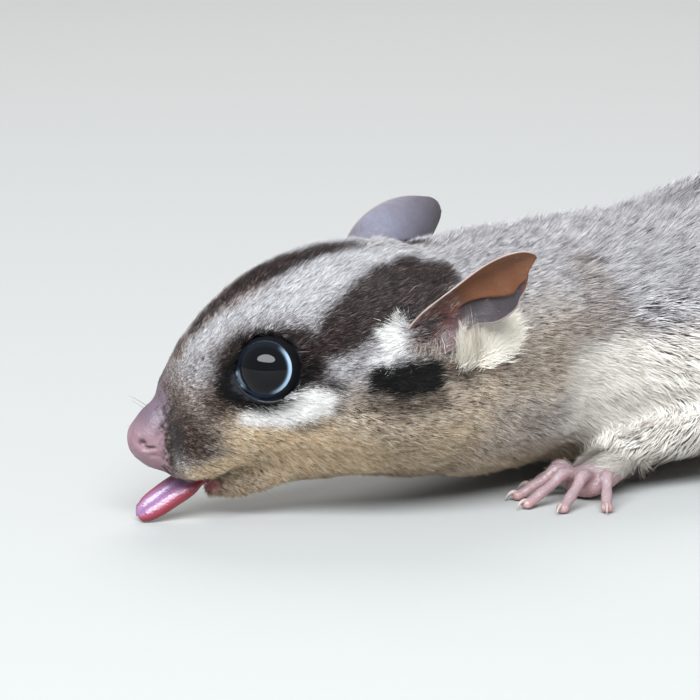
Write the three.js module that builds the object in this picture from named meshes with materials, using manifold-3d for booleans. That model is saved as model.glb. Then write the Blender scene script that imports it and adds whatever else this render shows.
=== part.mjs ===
// A sugar glider, life size: crouched low on the floor, neck stretched forward, head turned and tongue out.
// Millimetres. +Z is up and the floor is z = 0, the nose points to -Y, and the animal's left side is +X.
import * as THREE from "three";
import { mergeVertices } from "three/addons/utils/BufferGeometryUtils.js";
import Module from "manifold-3d";

const wasm = await Module();
wasm.setup();

const degrees = Math.PI / 180;
const point = (x, y, z) => new THREE.Vector3(x, y, z);
const skyward = point(0, 0, 1);

// Driving sizes
const seam = 0.3; // gap between two parts that touch
const headLength = 36; // nose tip to the joint with the neck
const noseDrop = 7; // nose tip below that joint
const headPlace = point(1.1, -0.5, 17.2);
const headYaw = -22 * degrees; // turned towards its right
const headRoll = 10 * degrees; // crown leaning towards its left
const eyeRadius = 4.1;
const earThickness = 0.6;
const tailParts = 4;
const coreShare = 0.5; // the tail's core, as a share of the coat's reach
const rowsEach = 3; // rows of locks on each length of the tail
const firstRow = -9; // the first row's roots, from the start of the tail's line
const lockLength = 25;
const lockWidth = 10;
const lockThickness = 2.8;

// Colours by part of the animal, with how rough each surface is
const looks = {
  grey: { color: 0x9c9894, roughness: 0.95 },
  cream: { color: 0xcfc4b2, roughness: 0.95 },
  smoke: { color: 0x4f4a4c, roughness: 0.95 },
  pink: { color: 0xc9a0a0, roughness: 0.6 },
  tongue: { color: 0xc46a78, roughness: 0.35 },
  eye: { color: 0x0b0b10, roughness: 0.05 },
  ear: { color: 0x6f5a55, roughness: 0.7 },
};

// Solids from geometry, and geometry back from solids

function solidOf(geometry) {
  const bare = geometry.clone();
  bare.deleteAttribute("normal");
  bare.deleteAttribute("uv");
  const merged = mergeVertices(bare, 1e-4);
  const vertProperties = new Float32Array(merged.attributes.position.array);
  const triVerts = new Uint32Array(merged.index.array);
  return new wasm.Manifold(new wasm.Mesh({ numProp: 3, vertProperties, triVerts }));
}

function geometryOf(solid) {
  const { vertProperties, triVerts } = solid.getMesh();
  const geometry = new THREE.BufferGeometry();
  geometry.setAttribute("position", new THREE.BufferAttribute(vertProperties, 3));
  geometry.setIndex(new THREE.BufferAttribute(triVerts, 1));
  geometry.computeVertexNormals();
  return geometry;
}

function joined(solids) {
  return solids.reduce((whole, piece) => whole.add(piece));
}

function without(solid, cutters) {
  return cutters.reduce((rest, cutter) => rest.subtract(cutter), solid);
}

function largest(solid) {
  const pieces = solid.decompose();
  return pieces.reduce((best, piece) => (piece.volume() > best.volume() ? piece : best));
}

// What is left of a solid before or behind a straight cut, which faces forward
function before(solid, cut) {
  return solid.trimByPlane([...cut.facing], cut.facing.dot(cut.at) + seam / 2);
}

function behind(solid, cut) {
  return solid.trimByPlane([...cut.facing.clone().negate()], -cut.facing.dot(cut.at) + seam / 2);
}

function moved(solid, matrix) {
  return solid.transform(matrix.elements);
}

// One ring of an outline: half width to the sides, reach up and down, squarer as `square` falls below 1,
// and narrower at the top than at the bottom by `pinch`
function ringPoint(station, angle) {
  const power = (value) => Math.sign(value) * Math.abs(value) ** station.square;
  const across = power(Math.cos(angle)) * station.side * (1 - station.pinch * Math.sin(angle));
  const rise = power(Math.sin(angle)) * (Math.sin(angle) > 0 ? station.up : station.down);
  return [across, rise];
}

// The stations' sizes between two of them, on smooth curves
function between(stations) {
  const curve = (pick) => new THREE.CatmullRomCurve3(stations.map(pick), false, "centripetal");
  const sizes = new THREE.CatmullRomCurve3(
    stations.map((s) => point(s.side, s.up, s.down)),
    false,
    "catmullrom",
    0.5,
  );
  const forms = new THREE.CatmullRomCurve3(
    stations.map((s, i) => point(s.square ?? 1, s.pinch ?? 0, i)),
    false,
    "catmullrom",
    0.5,
  );
  const spine = curve((s) => s.at);
  return (t) => {
    const size = sizes.getPoint(t);
    const form = forms.getPoint(t);
    return {
      at: spine.getPoint(t),
      along: spine.getTangent(t),
      side: size.x,
      up: size.y,
      down: size.z,
      square: form.x,
      pinch: form.y,
    };
  };
}

// A closed body of rings along the stations, with a round cap of the given length at each end.
// `grow` moves its whole surface out, for a cutter that leaves a seam.
function loft(stations, { sides = 16, rings = 8, caps = [1, 1], capRings = 2, grow = 0, upward = skyward } = {}) {
  const sample = between(stations);
  const slices = [];
  const slice = (t, shrink, slide) => {
    const station = sample(t);
    const along = station.along;
    const sideways = new THREE.Vector3().crossVectors(along, upward).normalize();
    const lift = new THREE.Vector3().crossVectors(sideways, along).normalize();
    station.side = Math.max(0.01, (station.side + grow) * shrink);
    station.up = Math.max(0.01, (station.up + grow) * shrink);
    station.down = Math.max(0.01, (station.down + grow) * shrink);
    const centre = station.at.clone().addScaledVector(along, slide);
    slices.push({ station, centre, sideways, lift });
  };
  for (let i = capRings; i > 0; i--) {
    const turn = ((i / (capRings + 1)) * Math.PI) / 2;
    slice(0, Math.cos(turn), -(caps[0] + grow) * Math.sin(turn));
  }
  for (let i = 0; i <= rings; i++) slice(i / rings, 1, 0);
  for (let i = 1; i <= capRings; i++) {
    const turn = ((i / (capRings + 1)) * Math.PI) / 2;
    slice(1, Math.cos(turn), (caps[1] + grow) * Math.sin(turn));
  }

  const positions = [];
  for (const { station, centre, sideways, lift } of slices) {
    for (let j = 0; j < sides; j++) {
      const [across, rise] = ringPoint(station, (j / sides) * Math.PI * 2);
      const spot = centre.clone().addScaledVector(sideways, across).addScaledVector(lift, rise);
      positions.push(...spot);
    }
  }
  const first = sample(0);
  const last = sample(1);
  positions.push(...first.at.addScaledVector(first.along, -(caps[0] + grow)));
  positions.push(...last.at.addScaledVector(last.along, caps[1] + grow));

  const faces = [];
  const startPole = slices.length * sides;
  const endPole = startPole + 1;
  for (let j = 0; j < sides; j++) {
    const k = (j + 1) % sides;
    faces.push(startPole, j, k);
    for (let i = 0; i + 1 < slices.length; i++) {
      const near = i * sides;
      const far = near + sides;
      faces.push(near + j, far + j, near + k, near + k, far + j, far + k);
    }
    const lastRing = (slices.length - 1) * sides;
    faces.push(endPole, lastRing + k, lastRing + j);
  }
  const geometry = new THREE.BufferGeometry();
  geometry.setAttribute("position", new THREE.Float32BufferAttribute(positions, 3));
  geometry.setIndex(faces);
  return solidOf(geometry);
}

// A ball, or an egg with three half lengths
function ball(centre, reach, segments = 16) {
  const geometry = new THREE.SphereGeometry(1, segments, Math.round(segments / 2));
  geometry.scale(reach.x ?? reach, reach.y ?? reach, reach.z ?? reach);
  geometry.translate(centre.x, centre.y, centre.z);
  return solidOf(geometry);
}

const belowFloor = (() => {
  const slab = new THREE.BoxGeometry(400, 900, 20);
  slab.translate(0, 150, -10);
  return solidOf(slab);
})();

// The head's own frame: x to its left, y backwards, z up, from the joint with the neck
const headFrame = new THREE.Matrix4()
  .makeRotationFromEuler(new THREE.Euler(0, headRoll, headYaw, "ZYX"))
  .setPosition(headPlace);

// A place on the head, as millimetres behind the nose tip, to the left of it and above it
const onHead = (back, left, above) => point(left, back - headLength, above - noseDrop);

// A cross-section of the head: how far behind the nose tip, full width, and its heights above the nose tip
function headSection(back, width, bottom, top, form = {}) {
  const reach = (top - bottom) / 2;
  return { at: onHead(back, 0, (top + bottom) / 2), side: width / 2, up: reach, down: reach, ...form };
}

const craniumSections = [
  headSection(3.6, 5.2, -4.2, 3, { pinch: 0.1 }),
  headSection(6, 8.2, -4.9, 5.8, { pinch: 0.16 }),
  headSection(9, 11.6, -5.3, 10.4, { pinch: 0.18 }),
  headSection(13, 15.8, -5.7, 15.9, { pinch: 0.14 }),
  headSection(18, 21.4, -6.1, 20, { pinch: 0.08 }),
  headSection(24, 26.4, -6.1, 22.2, { pinch: 0.05 }),
  headSection(30, 27.6, -5.9, 22.4, { pinch: 0.05 }),
  headSection(36, 26.6, -6.5, 21.2, { pinch: 0.05 }),
];
const cranium = (grow = 0) => loft(craniumSections, { sides: 24, rings: 14, caps: [0.8, 6], grow });

const eyePlace = (side) => onHead(14.6, side * 5.8, 9.8);
const eyeAxis = (side) => point(side * 0.82, -0.44, 0.34).normalize();

// The lids: a ring round the eye, on its axis, at the rim of an opening in the head
const lidOpening = 3.3;
const lidPlace = (side, out) => eyePlace(side).addScaledVector(eyeAxis(side), out);
function lidRing(side) {
  const ring = new THREE.TorusGeometry(lidOpening + 0.5, 0.85, 5, 16);
  const turn = new THREE.Quaternion().setFromUnitVectors(skyward, eyeAxis(side));
  ring.applyMatrix4(new THREE.Matrix4().compose(lidPlace(side, 1.9), turn, point(1, 1, 1)));
  return solidOf(ring);
}
const eyeOpening = (side) => ball(lidPlace(side, 3.4), lidOpening + 0.1, 14);

// Whisker pads each side of the upper lip
const lipPad = (side) => ball(onHead(8, side * 2.3, -2.1), point(2.7, 4.8, 3.1), 10);

const eyeball = (side, grow = 0) => ball(eyePlace(side), eyeRadius + grow, 14);

// The nose pad: a rounded wedge with a groove down its middle and a nostril each side
const noseSections = [
  headSection(1.1, 4.4, -2.6, 1.9, { pinch: -0.12 }),
  headSection(2.2, 5.8, -3.7, 3.2, { pinch: -0.06 }),
  headSection(3.4, 6.2, -4.2, 4.2, { pinch: 0.02 }),
];
const nosePad = (grow = 0) => loft(noseSections, { sides: 14, rings: 3, caps: [1.1, 0.6], grow });
const nostril = (side) => ball(onHead(1.1, side * 1.75, -1.5), point(0.62, 0.8, 0.55), 8);
const noseGroove = () => ball(onHead(0, 0, -1.6), point(0.28, 0.55, 2.3), 8);

// The lower jaw, hung open a little, from its tip back under the cheeks
const jawSections = [
  headSection(10.2, 3.6, -7.9, -6.2),
  headSection(12.6, 6, -8.1, -5),
  headSection(16, 9.6, -7.9, -3.6),
  headSection(20, 13, -7.3, -2.6),
  headSection(25, 16.4, -6.5, -2),
];
const jaw = (grow = 0) => loft(jawSections, { sides: 12, rings: 5, caps: [0.9, 3], grow });

// The tongue slides out over the lower jaw, bends down and ends in a pressed, broad tip
const tongueSections = [
  { at: onHead(11.5, 0, -5.6), side: 2.1, up: 0.5, down: 0.55 },
  { at: onHead(8.6, 0, -5.9), side: 2.2, up: 0.6, down: 0.7 },
  { at: onHead(6, 0.1, -6.7), side: 2.2, up: 0.6, down: 0.7 },
  { at: onHead(3.9, 0.1, -7.9), side: 2.1, up: 0.55, down: 0.65 },
  { at: onHead(2, 0.1, -9.1), side: 1.8, up: 0.45, down: 0.5 },
];
const tongue = () => loft(tongueSections, { sides: 10, rings: 7, caps: [0.5, 0.6] });

// An ear: a thin cupped leaf. Its two faces have the same grid, so they stay one thickness apart.
function ear({ root, tip, open, lead, trail, radius }, grow = 0) {
  const axis = tip.clone().sub(root);
  const length = axis.length();
  axis.normalize();
  const mouth = open.clone().addScaledVector(axis, -open.dot(axis)).normalize();
  const across = new THREE.Vector3().crossVectors(axis, mouth).normalize();
  const lengthwise = 8;
  const around = 8;
  const widest = 0.55; // share of the length where the leaf is broadest
  const outline = (u) =>
    u < widest
      ? 0.5 + 0.5 * Math.sin((u / widest) * (Math.PI / 2))
      : Math.sqrt(Math.max(0, 1 - ((u - widest) / (1.02 - widest)) ** 2));
  const grids = [0, 1].map((face) => {
    const rows = [];
    for (let i = 0; i <= lengthwise; i++) {
      const u = i / lengthwise;
      const curl = outline(u) * (1.12 - 0.3 * u);
      const bend = radius * (0.8 + 0.42 * Math.sin(Math.PI * Math.min(1, u * 1.1)));
      const start = -trail * curl;
      const end = lead * curl;
      for (let j = 0; j <= around; j++) {
        const angle = start + ((end - start) * j) / around;
        const reach = bend + (face ? -earThickness - grow : grow);
        const spot = root.clone().addScaledVector(axis, u * length);
        spot.addScaledVector(across, reach * Math.sin(angle));
        spot.addScaledVector(mouth, bend - reach * Math.cos(angle) - 0.12 * length * Math.sin(Math.PI * u));
        rows.push(spot);
      }
    }
    return rows;
  });
  const positions = grids.flat().flatMap((spot) => [...spot]);
  const columns = around + 1;
  const inner = grids[0].length;
  const faces = [];
  const quad = (a, b, c, d) => faces.push(a, b, c, a, c, d);
  for (let i = 0; i < lengthwise; i++) {
    for (let j = 0; j < around; j++) {
      const a = i * columns + j;
      quad(a, a + 1, a + 1 + columns, a + columns);
      quad(inner + a, inner + a + columns, inner + a + 1 + columns, inner + a + 1);
    }
    const left = i * columns;
    const right = left + around;
    quad(left, left + columns, inner + left + columns, inner + left);
    quad(right, inner + right, inner + right + columns, right + columns);
  }
  for (let j = 0; j < around; j++) {
    const low = j;
    const high = lengthwise * columns + j;
    quad(low, inner + low, inner + low + 1, low + 1);
    quad(high, high + 1, inner + high + 1, inner + high);
  }
  const geometry = new THREE.BufferGeometry();
  geometry.setAttribute("position", new THREE.Float32BufferAttribute(positions, 3));
  geometry.setIndex(faces);
  const made = solidOf(geometry);
  return made.volume() < 0 ? solidOf(turnedInsideOut(geometry)) : made;
}

function turnedInsideOut(geometry) {
  const index = [...geometry.index.array];
  for (let i = 0; i < index.length; i += 3) [index[i + 1], index[i + 2]] = [index[i + 2], index[i + 1]];
  const turned = geometry.clone();
  turned.setIndex(index);
  return turned;
}

// Each ear lies back, and the right one lies flatter than the left
const earPoses = {
  left: {
    root: onHead(31, 10.4, 13.2),
    tip: onHead(42.6, 16.6, 24.8),
    open: point(0.82, -0.5, -0.12),
    lead: 82 * degrees,
    trail: 96 * degrees,
    radius: 3.5,
  },
  right: {
    root: onHead(31, -10.4, 13.2),
    tip: onHead(45.6, -17.2, 20.4),
    open: point(-0.82, -0.5, -0.12),
    lead: 96 * degrees,
    trail: 82 * degrees,
    radius: 3.9,
  },
};

// The neck and the torso, in heights above the floor
function bodySection(y, width, bottom, top, form = {}) {
  const reach = (top - bottom) / 2;
  return { at: point(0, y, (top + bottom) / 2), side: width / 2, up: reach, down: reach, ...form };
}

const neckSections = [
  { at: point(0.6, -6, 17), side: 12.8, up: 14.2, down: 14.4 },
  { at: point(0.4, 2, 17), side: 13.4, up: 14.8, down: 15 },
  bodySection(10, 28.6, 1.8, 32),
  bodySection(18, 31, 1.9, 32.6),
];
const neck = (grow = 0) => loft(neckSections, { sides: 20, rings: 6, caps: [2, 3], grow });

const torsoSections = [
  bodySection(14, 30, 2, 31.8),
  bodySection(24, 35, 1.6, 32.2, { pinch: 0.06 }),
  bodySection(42, 40, 1.5, 32.2, { pinch: 0.12 }),
  bodySection(62, 44, 1.5, 35, { pinch: 0.16 }),
  bodySection(82, 46, 1.6, 38.4, { pinch: 0.14 }),
  bodySection(99, 43, 2.4, 38.4, { pinch: 0.1 }),
  bodySection(112, 34, 4.6, 33.8, { pinch: 0.04 }),
  bodySection(120, 24, 7, 27.6),
  bodySection(127, 17, 7.6, 22.6),
];
const torso = (grow = 0) => loft(torsoSections, { sides: 22, rings: 14, caps: [5, 3], grow });

// Forelegs. `side` is 1 for the left and -1 for the right, and `back` moves the hand along the body.
const forelegs = {
  left: { side: 1, back: 0 },
  right: { side: -1, back: 6 },
};
const elbowPlace = ({ side, back }) => point(side * 20.6, 43 + back * 0.6, 14.5);
const wristPlace = ({ side, back }) => point(side * 14.4, 21 + back, 5.4);

const upperArm = (leg, grow = 0) =>
  loft(
    [
      { at: point(leg.side * 10, 19 + leg.back * 0.3, 18.5), side: 4.4, up: 7, down: 7.6 },
      { at: point(leg.side * 15.6, 29 + leg.back * 0.5, 17), side: 5.2, up: 7.6, down: 7.8 },
      { at: elbowPlace(leg), side: 4.4, up: 5.6, down: 5.6 },
    ],
    { sides: 12, rings: 5, caps: [4, 4], grow },
  );

const forearm = (leg, grow = 0) => {
  const elbow = elbowPlace(leg).add(point(leg.side * 0.6, 0.6, -2.8));
  const wrist = wristPlace(leg);
  const middle = elbow.clone().lerp(wrist, 0.5).add(point(leg.side * 0.8, 0, -0.6));
  return loft(
    [
      { at: elbow, side: 4.2, up: 4.8, down: 4.8 },
      { at: middle, side: 3.7, up: 4.3, down: 4.3 },
      { at: wrist, side: 2.8, up: 2.8, down: 2.8 },
    ],
    { sides: 10, rings: 4, caps: [3, 2], grow },
  );
};

// A digit: a bent row of joints with a pad at its end and a hooked claw
function digit({ root, heading, length, thick, lift, claw }) {
  const reach = (share, height) =>
    point(root.x + Math.sin(heading) * length * share, root.y - Math.cos(heading) * length * share, height);
  const half = thick / 2;
  const bones = [
    { at: root, side: half * 1.1, up: half, down: half },
    { at: reach(0.38, root.z * 0.55 + lift), side: half, up: half, down: half },
    { at: reach(0.76, half * 1.1 + lift * 0.35), side: half * 0.95, up: half * 0.9, down: half * 0.9 },
    { at: reach(1, half * 0.8), side: half * 1.12, up: half * 0.85, down: half },
  ];
  const pieces = [loft(bones, { sides: 5, rings: 3, caps: [0.4, half * 0.8], capRings: 1 })];
  if (claw > 0) {
    const hook = [
      { at: reach(1, half * 1.15), side: half * 0.42, up: half * 0.5, down: half * 0.5 },
      { at: reach(1 + (claw * 0.55) / length, half * 1.3), side: half * 0.3, up: half * 0.4, down: half * 0.4 },
      { at: reach(1 + claw / length, half * 0.45), side: 0.12, up: 0.12, down: 0.12 },
    ];
    pieces.push(loft(hook, { sides: 3, rings: 2, caps: [0.2, 0.1], capRings: 0 }));
  }
  return joined(pieces);
}

// A hand: a palm with five clawed digits that fan out
function hand(leg) {
  const wrist = wristPlace(leg);
  const palm = [
    { at: point(wrist.x, wrist.y - 0.4, 3.6), side: 2.7, up: 2.4, down: 2.6 },
    { at: point(wrist.x - leg.side * 0.3, wrist.y - 3.4, 2.6), side: 3.3, up: 2.1, down: 2.8 },
    { at: point(wrist.x - leg.side * 0.4, wrist.y - 6, 1.9), side: 3.2, up: 1.7, down: 2.1 },
  ];
  const pieces = [loft(palm, { sides: 10, rings: 3, caps: [1.2, 1], capRings: 1 })];
  const fan = [-58, -27, -5, 17, 42];
  const lengths = [5.6, 8, 9.2, 9.2, 7.4];
  fan.forEach((spread, i) => {
    const across = (i - 2) * 1.25 * leg.side;
    const root = point(wrist.x - leg.side * 0.4 + across, wrist.y - 6 + Math.abs(i - 2) * 0.7, 2.4);
    const heading = spread * degrees * leg.side;
    pieces.push(digit({ root, heading, length: lengths[i], thick: 1.6, lift: 2.2, claw: 1.9 }));
  });
  return joined(pieces);
}

// Hind legs, folded under the body
const hindlegs = { left: { side: 1 }, right: { side: -1 } };
const kneePlace = (leg) => point(leg.side * 25.5, 71, 13.5);
const anklePlace = (leg) => point(leg.side * 23.5, 103, 5.6);

const thigh = (leg, grow = 0) =>
  loft(
    [
      { at: point(leg.side * 13, 101, 21), side: 8, up: 14, down: 14 },
      { at: point(leg.side * 20, 87, 18), side: 7.4, up: 12.5, down: 12.5 },
      { at: kneePlace(leg), side: 5.4, up: 7.6, down: 7.6 },
    ],
    { sides: 14, rings: 6, caps: [5, 4], grow },
  );

const shin = (leg, grow = 0) => {
  const knee = kneePlace(leg).add(point(leg.side * 0.4, 0.6, -5));
  const ankle = anklePlace(leg);
  const middle = knee.clone().lerp(ankle, 0.5).add(point(leg.side * 0.8, 0, 0.6));
  return loft(
    [
      { at: knee, side: 4.4, up: 4.6, down: 4.6 },
      { at: middle, side: 4, up: 4.4, down: 4.4 },
      { at: ankle, side: 3.2, up: 3.4, down: 3.4 },
    ],
    { sides: 10, rings: 4, caps: [3, 2.4], grow },
  );
};

// A foot: a long sole, a clawless first toe set inwards, two joined toes and two long outer toes
function foot(leg) {
  const ankle = anklePlace(leg);
  const sole = [
    { at: point(ankle.x, ankle.y + 1.4, 3.2), side: 2.7, up: 2.6, down: 3.4 },
    { at: point(ankle.x + leg.side * 0.2, ankle.y - 5, 2.5), side: 3, up: 2.1, down: 2.8 },
    { at: point(ankle.x + leg.side * 0.4, ankle.y - 12, 1.9), side: 3.6, up: 1.8, down: 2.2 },
    { at: point(ankle.x + leg.side * 0.4, ankle.y - 15, 1.7), side: 3.4, up: 1.5, down: 1.9 },
  ];
  const pieces = [loft(sole, { sides: 10, rings: 4, caps: [1.8, 1], capRings: 1 })];
  const toes = [
    { across: -2.6, behind: 4.6, spread: -78, length: 5.6, thick: 2.1, claw: 0 },
    { across: -1.7, behind: 0.6, spread: -14, length: 6.6, thick: 1.5, claw: 1.4 },
    { across: -0.5, behind: 0, spread: -8, length: 7, thick: 1.5, claw: 1.4 },
    { across: 1, behind: 0, spread: 6, length: 9.2, thick: 1.8, claw: 1.9 },
    { across: 2.4, behind: 1, spread: 24, length: 8, thick: 1.8, claw: 1.9 },
  ];
  toes.forEach((toe) => {
    const root = point(ankle.x + leg.side * (0.4 + toe.across), ankle.y - 14.6 + toe.behind, 1.9);
    const heading = toe.spread * degrees * leg.side;
    pieces.push(digit({ root, heading, length: toe.length, thick: toe.thick, lift: 1.4, claw: toe.claw }));
  });
  return joined(pieces);
}

// The gliding skin, gathered along the flank from elbow to knee in a fold with a wavy lower edge
function patagium(side) {
  const waves = 2.5;
  const steps = 9;
  const sections = Array.from({ length: steps + 1 }, (_, i) => {
    const share = i / steps;
    const bulge = Math.sin(Math.PI * share);
    const wave = Math.sin(share * waves * Math.PI * 2);
    return {
      at: point(side * (20.4 + 2.2 * bulge + 0.5 * wave), 46 + 30 * share, 12.5),
      side: 2.2 + 1.3 * bulge,
      up: 6.5 + 2 * bulge,
      down: 5.5 + 1.6 * bulge + 0.9 * wave,
      pinch: 0.25,
    };
  });
  return loft(sections, { sides: 8, rings: steps, caps: [2, 2], capRings: 1 });
}

// The tail: its line runs back from the rump, down to the floor and away in a slow bend
const tailLine = new THREE.CatmullRomCurve3(
  [
    point(0, 119, 18),
    point(0.4, 131, 13.2),
    point(2, 148, 9.4),
    point(8, 174, 9.2),
    point(14, 205, 9.3),
    point(14, 238, 8.4),
    point(5, 268, 6.4),
    point(-8, 290, 4.2),
  ],
  false,
  "centripetal",
);
const tailSpan = tailLine.getLength();

// How far the tips of the coat stand from the tail's line
const coatReach = (share) =>
  7.4 + 2.8 * Math.sin(Math.min(1, share * 2.4) * (Math.PI / 2)) - 5.2 * Math.max(0, (share - 0.5) / 0.5) ** 1.7;

// A place along the tail, which runs straight on past its end, with the directions round it
function tailSpot(distance) {
  const share = Math.min(1, Math.max(0, distance / tailSpan));
  const along = tailLine.getTangentAt(share);
  const at = tailLine.getPointAt(share).addScaledVector(along, distance - share * tailSpan);
  const sideways = new THREE.Vector3().crossVectors(along, skyward).normalize();
  const lift = new THREE.Vector3().crossVectors(sideways, along).normalize();
  const outward = (angle) =>
    sideways.clone().multiplyScalar(Math.cos(angle)).addScaledVector(lift, Math.sin(angle));
  return { at, along, share, outward };
}

// The tail's core, which goes half way out to the tips of the coat
function tailCore() {
  const steps = 12;
  const sections = Array.from({ length: steps + 1 }, (_, i) => {
    const reach = coatReach(i / steps) * coreShare;
    return { at: tailLine.getPointAt(i / steps), side: reach, up: reach, down: reach };
  });
  return loft(sections, { sides: 6, rings: 12, caps: [4, 2], capRings: 1 });
}

// How far out a lock's middle runs, as a share of the coat's reach: it starts in the core and levels out
const lockRise = (t) => coreShare - 0.16 + (1.12 - coreShare) * (1 - (1 - t) ** 2);

// One lock of hair: flat and tapered, its root sunk in the core, it follows the tail and lifts to the coat's reach
function tailLock(start, angle, length, width) {
  const form = [
    { t: 0, wide: 0.55, thick: 1 },
    { t: 0.6, wide: 1, thick: 0.9 },
    { t: 1, wide: 0.16, thick: 0.2 },
  ];
  const sections = form.map(({ t, wide, thick }) => {
    const spot = tailSpot(start + t * length);
    return {
      at: spot.at.clone().addScaledVector(spot.outward(angle), coatReach(spot.share) * lockRise(t)),
      side: (width / 2) * wide,
      up: (lockThickness / 2) * thick,
      down: (lockThickness / 2) * thick,
    };
  });
  const upward = tailSpot(start).outward(angle);
  return loft(sections, { sides: 4, rings: 2, caps: [0.1, 0.6], capRings: 0, upward });
}

// All of the tail behind a parting in the hair, which opens backwards like a funnel along the lie of the locks
function tailBehind(start, grow) {
  const sections = [{ at: tailSpot(start - 3).at, side: 0.3, up: 0.3, down: 0.3 }];
  for (const t of [0, 0.25, 0.5, 0.75, 1]) {
    const spot = tailSpot(start + t * lockLength);
    const reach = coatReach(spot.share) * lockRise(t) - lockThickness * 0.4 + grow;
    sections.push({ at: spot.at, side: reach, up: reach, down: reach });
  }
  for (let distance = start + lockLength + 12; distance < tailSpan + 40; distance += 12) {
    const wide = coatReach(0.4) * 1.6 + grow;
    sections.push({ at: tailSpot(distance).at, side: wide, up: wide, down: wide });
  }
  return loft(sections, { sides: 8, rings: sections.length - 1, caps: [0.2, 0.5], capRings: 0 });
}

// A repeatable run of chance between 0 and 1
function chances(seed) {
  let state = seed;
  return () => {
    state = (state * 1664525 + 1013904223) % 4294967296;
    return state / 4294967296;
  };
}

function wholeTail() {
  const chance = chances(7);
  const pieces = [tailCore()];
  const rows = tailParts * rowsEach;
  for (let row = 0; row < rows; row++) {
    const start = firstRow + (row / rows) * (tailSpan - firstRow);
    const widest = 2 * Math.PI * coatReach(Math.max(0, start) / tailSpan) * lockRise(0.5);
    const around = Math.round(widest / lockWidth);
    for (let i = 0; i < around; i++) {
      const angle = ((i + (row % 2) / 2 + (chance() - 0.5) * 0.1) / around) * Math.PI * 2;
      const length = lockLength * (0.9 + 0.2 * chance());
      pieces.push(tailLock(start + chance() * 2, angle, length, (widest / around) * 0.98));
    }
  }
  return joined(pieces);
}

// Building the animal
const animal = new THREE.Group();
const head = new THREE.Group();
head.position.copy(headPlace);
head.rotation.set(0, headRoll, headYaw, "ZYX");
animal.add(head);

const materials = Object.fromEntries(
  Object.entries(looks).map(([name, look]) => [name, new THREE.MeshStandardMaterial({ metalness: 0, ...look })]),
);

function place(group, name, solid, look) {
  const mesh = new THREE.Mesh(geometryOf(largest(solid)), materials[look]);
  mesh.name = name;
  group.add(mesh);
}

const sidesOf = { left: 1, right: -1 };
const intoHead = headFrame.clone().invert();

// Head, neck and torso are one form, parted by two thin straight cuts
const skullForm = joined([
  without(cranium(), [eyeOpening(1), eyeOpening(-1)]),
  ...[1, -1].flatMap((side) => [lipPad(side), lidRing(side)]),
]);
const trunk = joined([moved(skullForm, headFrame), neck(), torso()]);
const napeCut = { at: onHead(36.2, 0, 7).applyMatrix4(headFrame), facing: point(0, -1, -0.16) };
napeCut.facing.transformDirection(headFrame);
const chestCut = { at: point(0, 15, 0), facing: point(0, -1, 0) };

const earCutters = Object.values(earPoses).map((pose) => moved(ear(pose, 0.5), headFrame));
const eyeCutters = Object.values(sidesOf).map((side) => eyeball(side, seam));
const headSolid = without(moved(before(trunk, napeCut), intoHead), [...eyeCutters, nosePad(seam)]);
place(head, "head", headSolid, "grey");
place(head, "nose", without(nosePad(), [nostril(1), nostril(-1), noseGroove()]), "pink");
place(head, "lower_jaw", without(jaw(), [cranium(seam), lipPad(1), lipPad(-1)]), "cream");
place(head, "tongue", without(tongue(), [jaw(seam), cranium(seam), lipPad(1), lipPad(-1)]), "tongue");
for (const [name, side] of Object.entries(sidesOf)) {
  place(head, `eye_${name}`, eyeball(side), "eye");
  place(head, `ear_${name}`, without(ear(earPoses[name]), [cranium(seam), moved(neck(seam), intoHead)]), "ear");
}

place(animal, "neck", without(before(behind(trunk, napeCut), chestCut), earCutters), "grey");
place(animal, "torso", behind(trunk, chestCut), "grey");

const bodyCutters = [torso(seam), neck(seam)];
for (const name of Object.keys(sidesOf)) {
  const fore = forelegs[name];
  const hind = hindlegs[name];
  place(animal, `upper_arm_${name}`, without(upperArm(fore), bodyCutters), "grey");
  place(animal, `forearm_${name}`, without(forearm(fore), [...bodyCutters, upperArm(fore, seam)]), "cream");
  place(animal, `hand_${name}`, without(hand(fore), [...bodyCutters, forearm(fore, seam), belowFloor]), "pink");
  place(animal, `thigh_${name}`, without(thigh(hind), bodyCutters), "grey");
  place(animal, `shin_${name}`, without(shin(hind), [...bodyCutters, thigh(hind, seam), belowFloor]), "cream");
  place(animal, `foot_${name}`, without(foot(hind), [shin(hind, seam), thigh(hind, seam), belowFloor]), "pink");
  const flankCutters = [...bodyCutters, upperArm(fore, seam), forearm(fore, seam), thigh(hind, seam), shin(hind, seam)];
  place(animal, `patagium_${name}`, without(patagium(sidesOf[name]), flankCutters), "cream");
}

let tail = without(wholeTail(), [...bodyCutters, belowFloor]);
for (let i = 1; i <= tailParts; i++) {
  const parting = (i / tailParts) * tailSpan;
  const stretch = i < tailParts ? tail.subtract(tailBehind(parting, seam)) : tail;
  place(animal, `tail_${i}`, stretch, i < tailParts ? "grey" : "smoke");
  if (i < tailParts) tail = tail.intersect(tailBehind(parting, 0));
}

// The origin goes to the middle of the underside of the whole animal
const whole = new THREE.Group();
whole.add(animal);
whole.updateMatrixWorld(true);
const bounds = new THREE.Box3().setFromObject(whole, true);
const middle = bounds.getCenter(point(0, 0, 0));
animal.position.set(-middle.x, -middle.y, -bounds.min.z);

export default whole;
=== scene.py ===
import bpy
import math
import time
import numpy as np
from mathutils import Euler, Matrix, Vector
from mathutils.bvhtree import BVHTree
from mathutils.kdtree import KDTree


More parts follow.
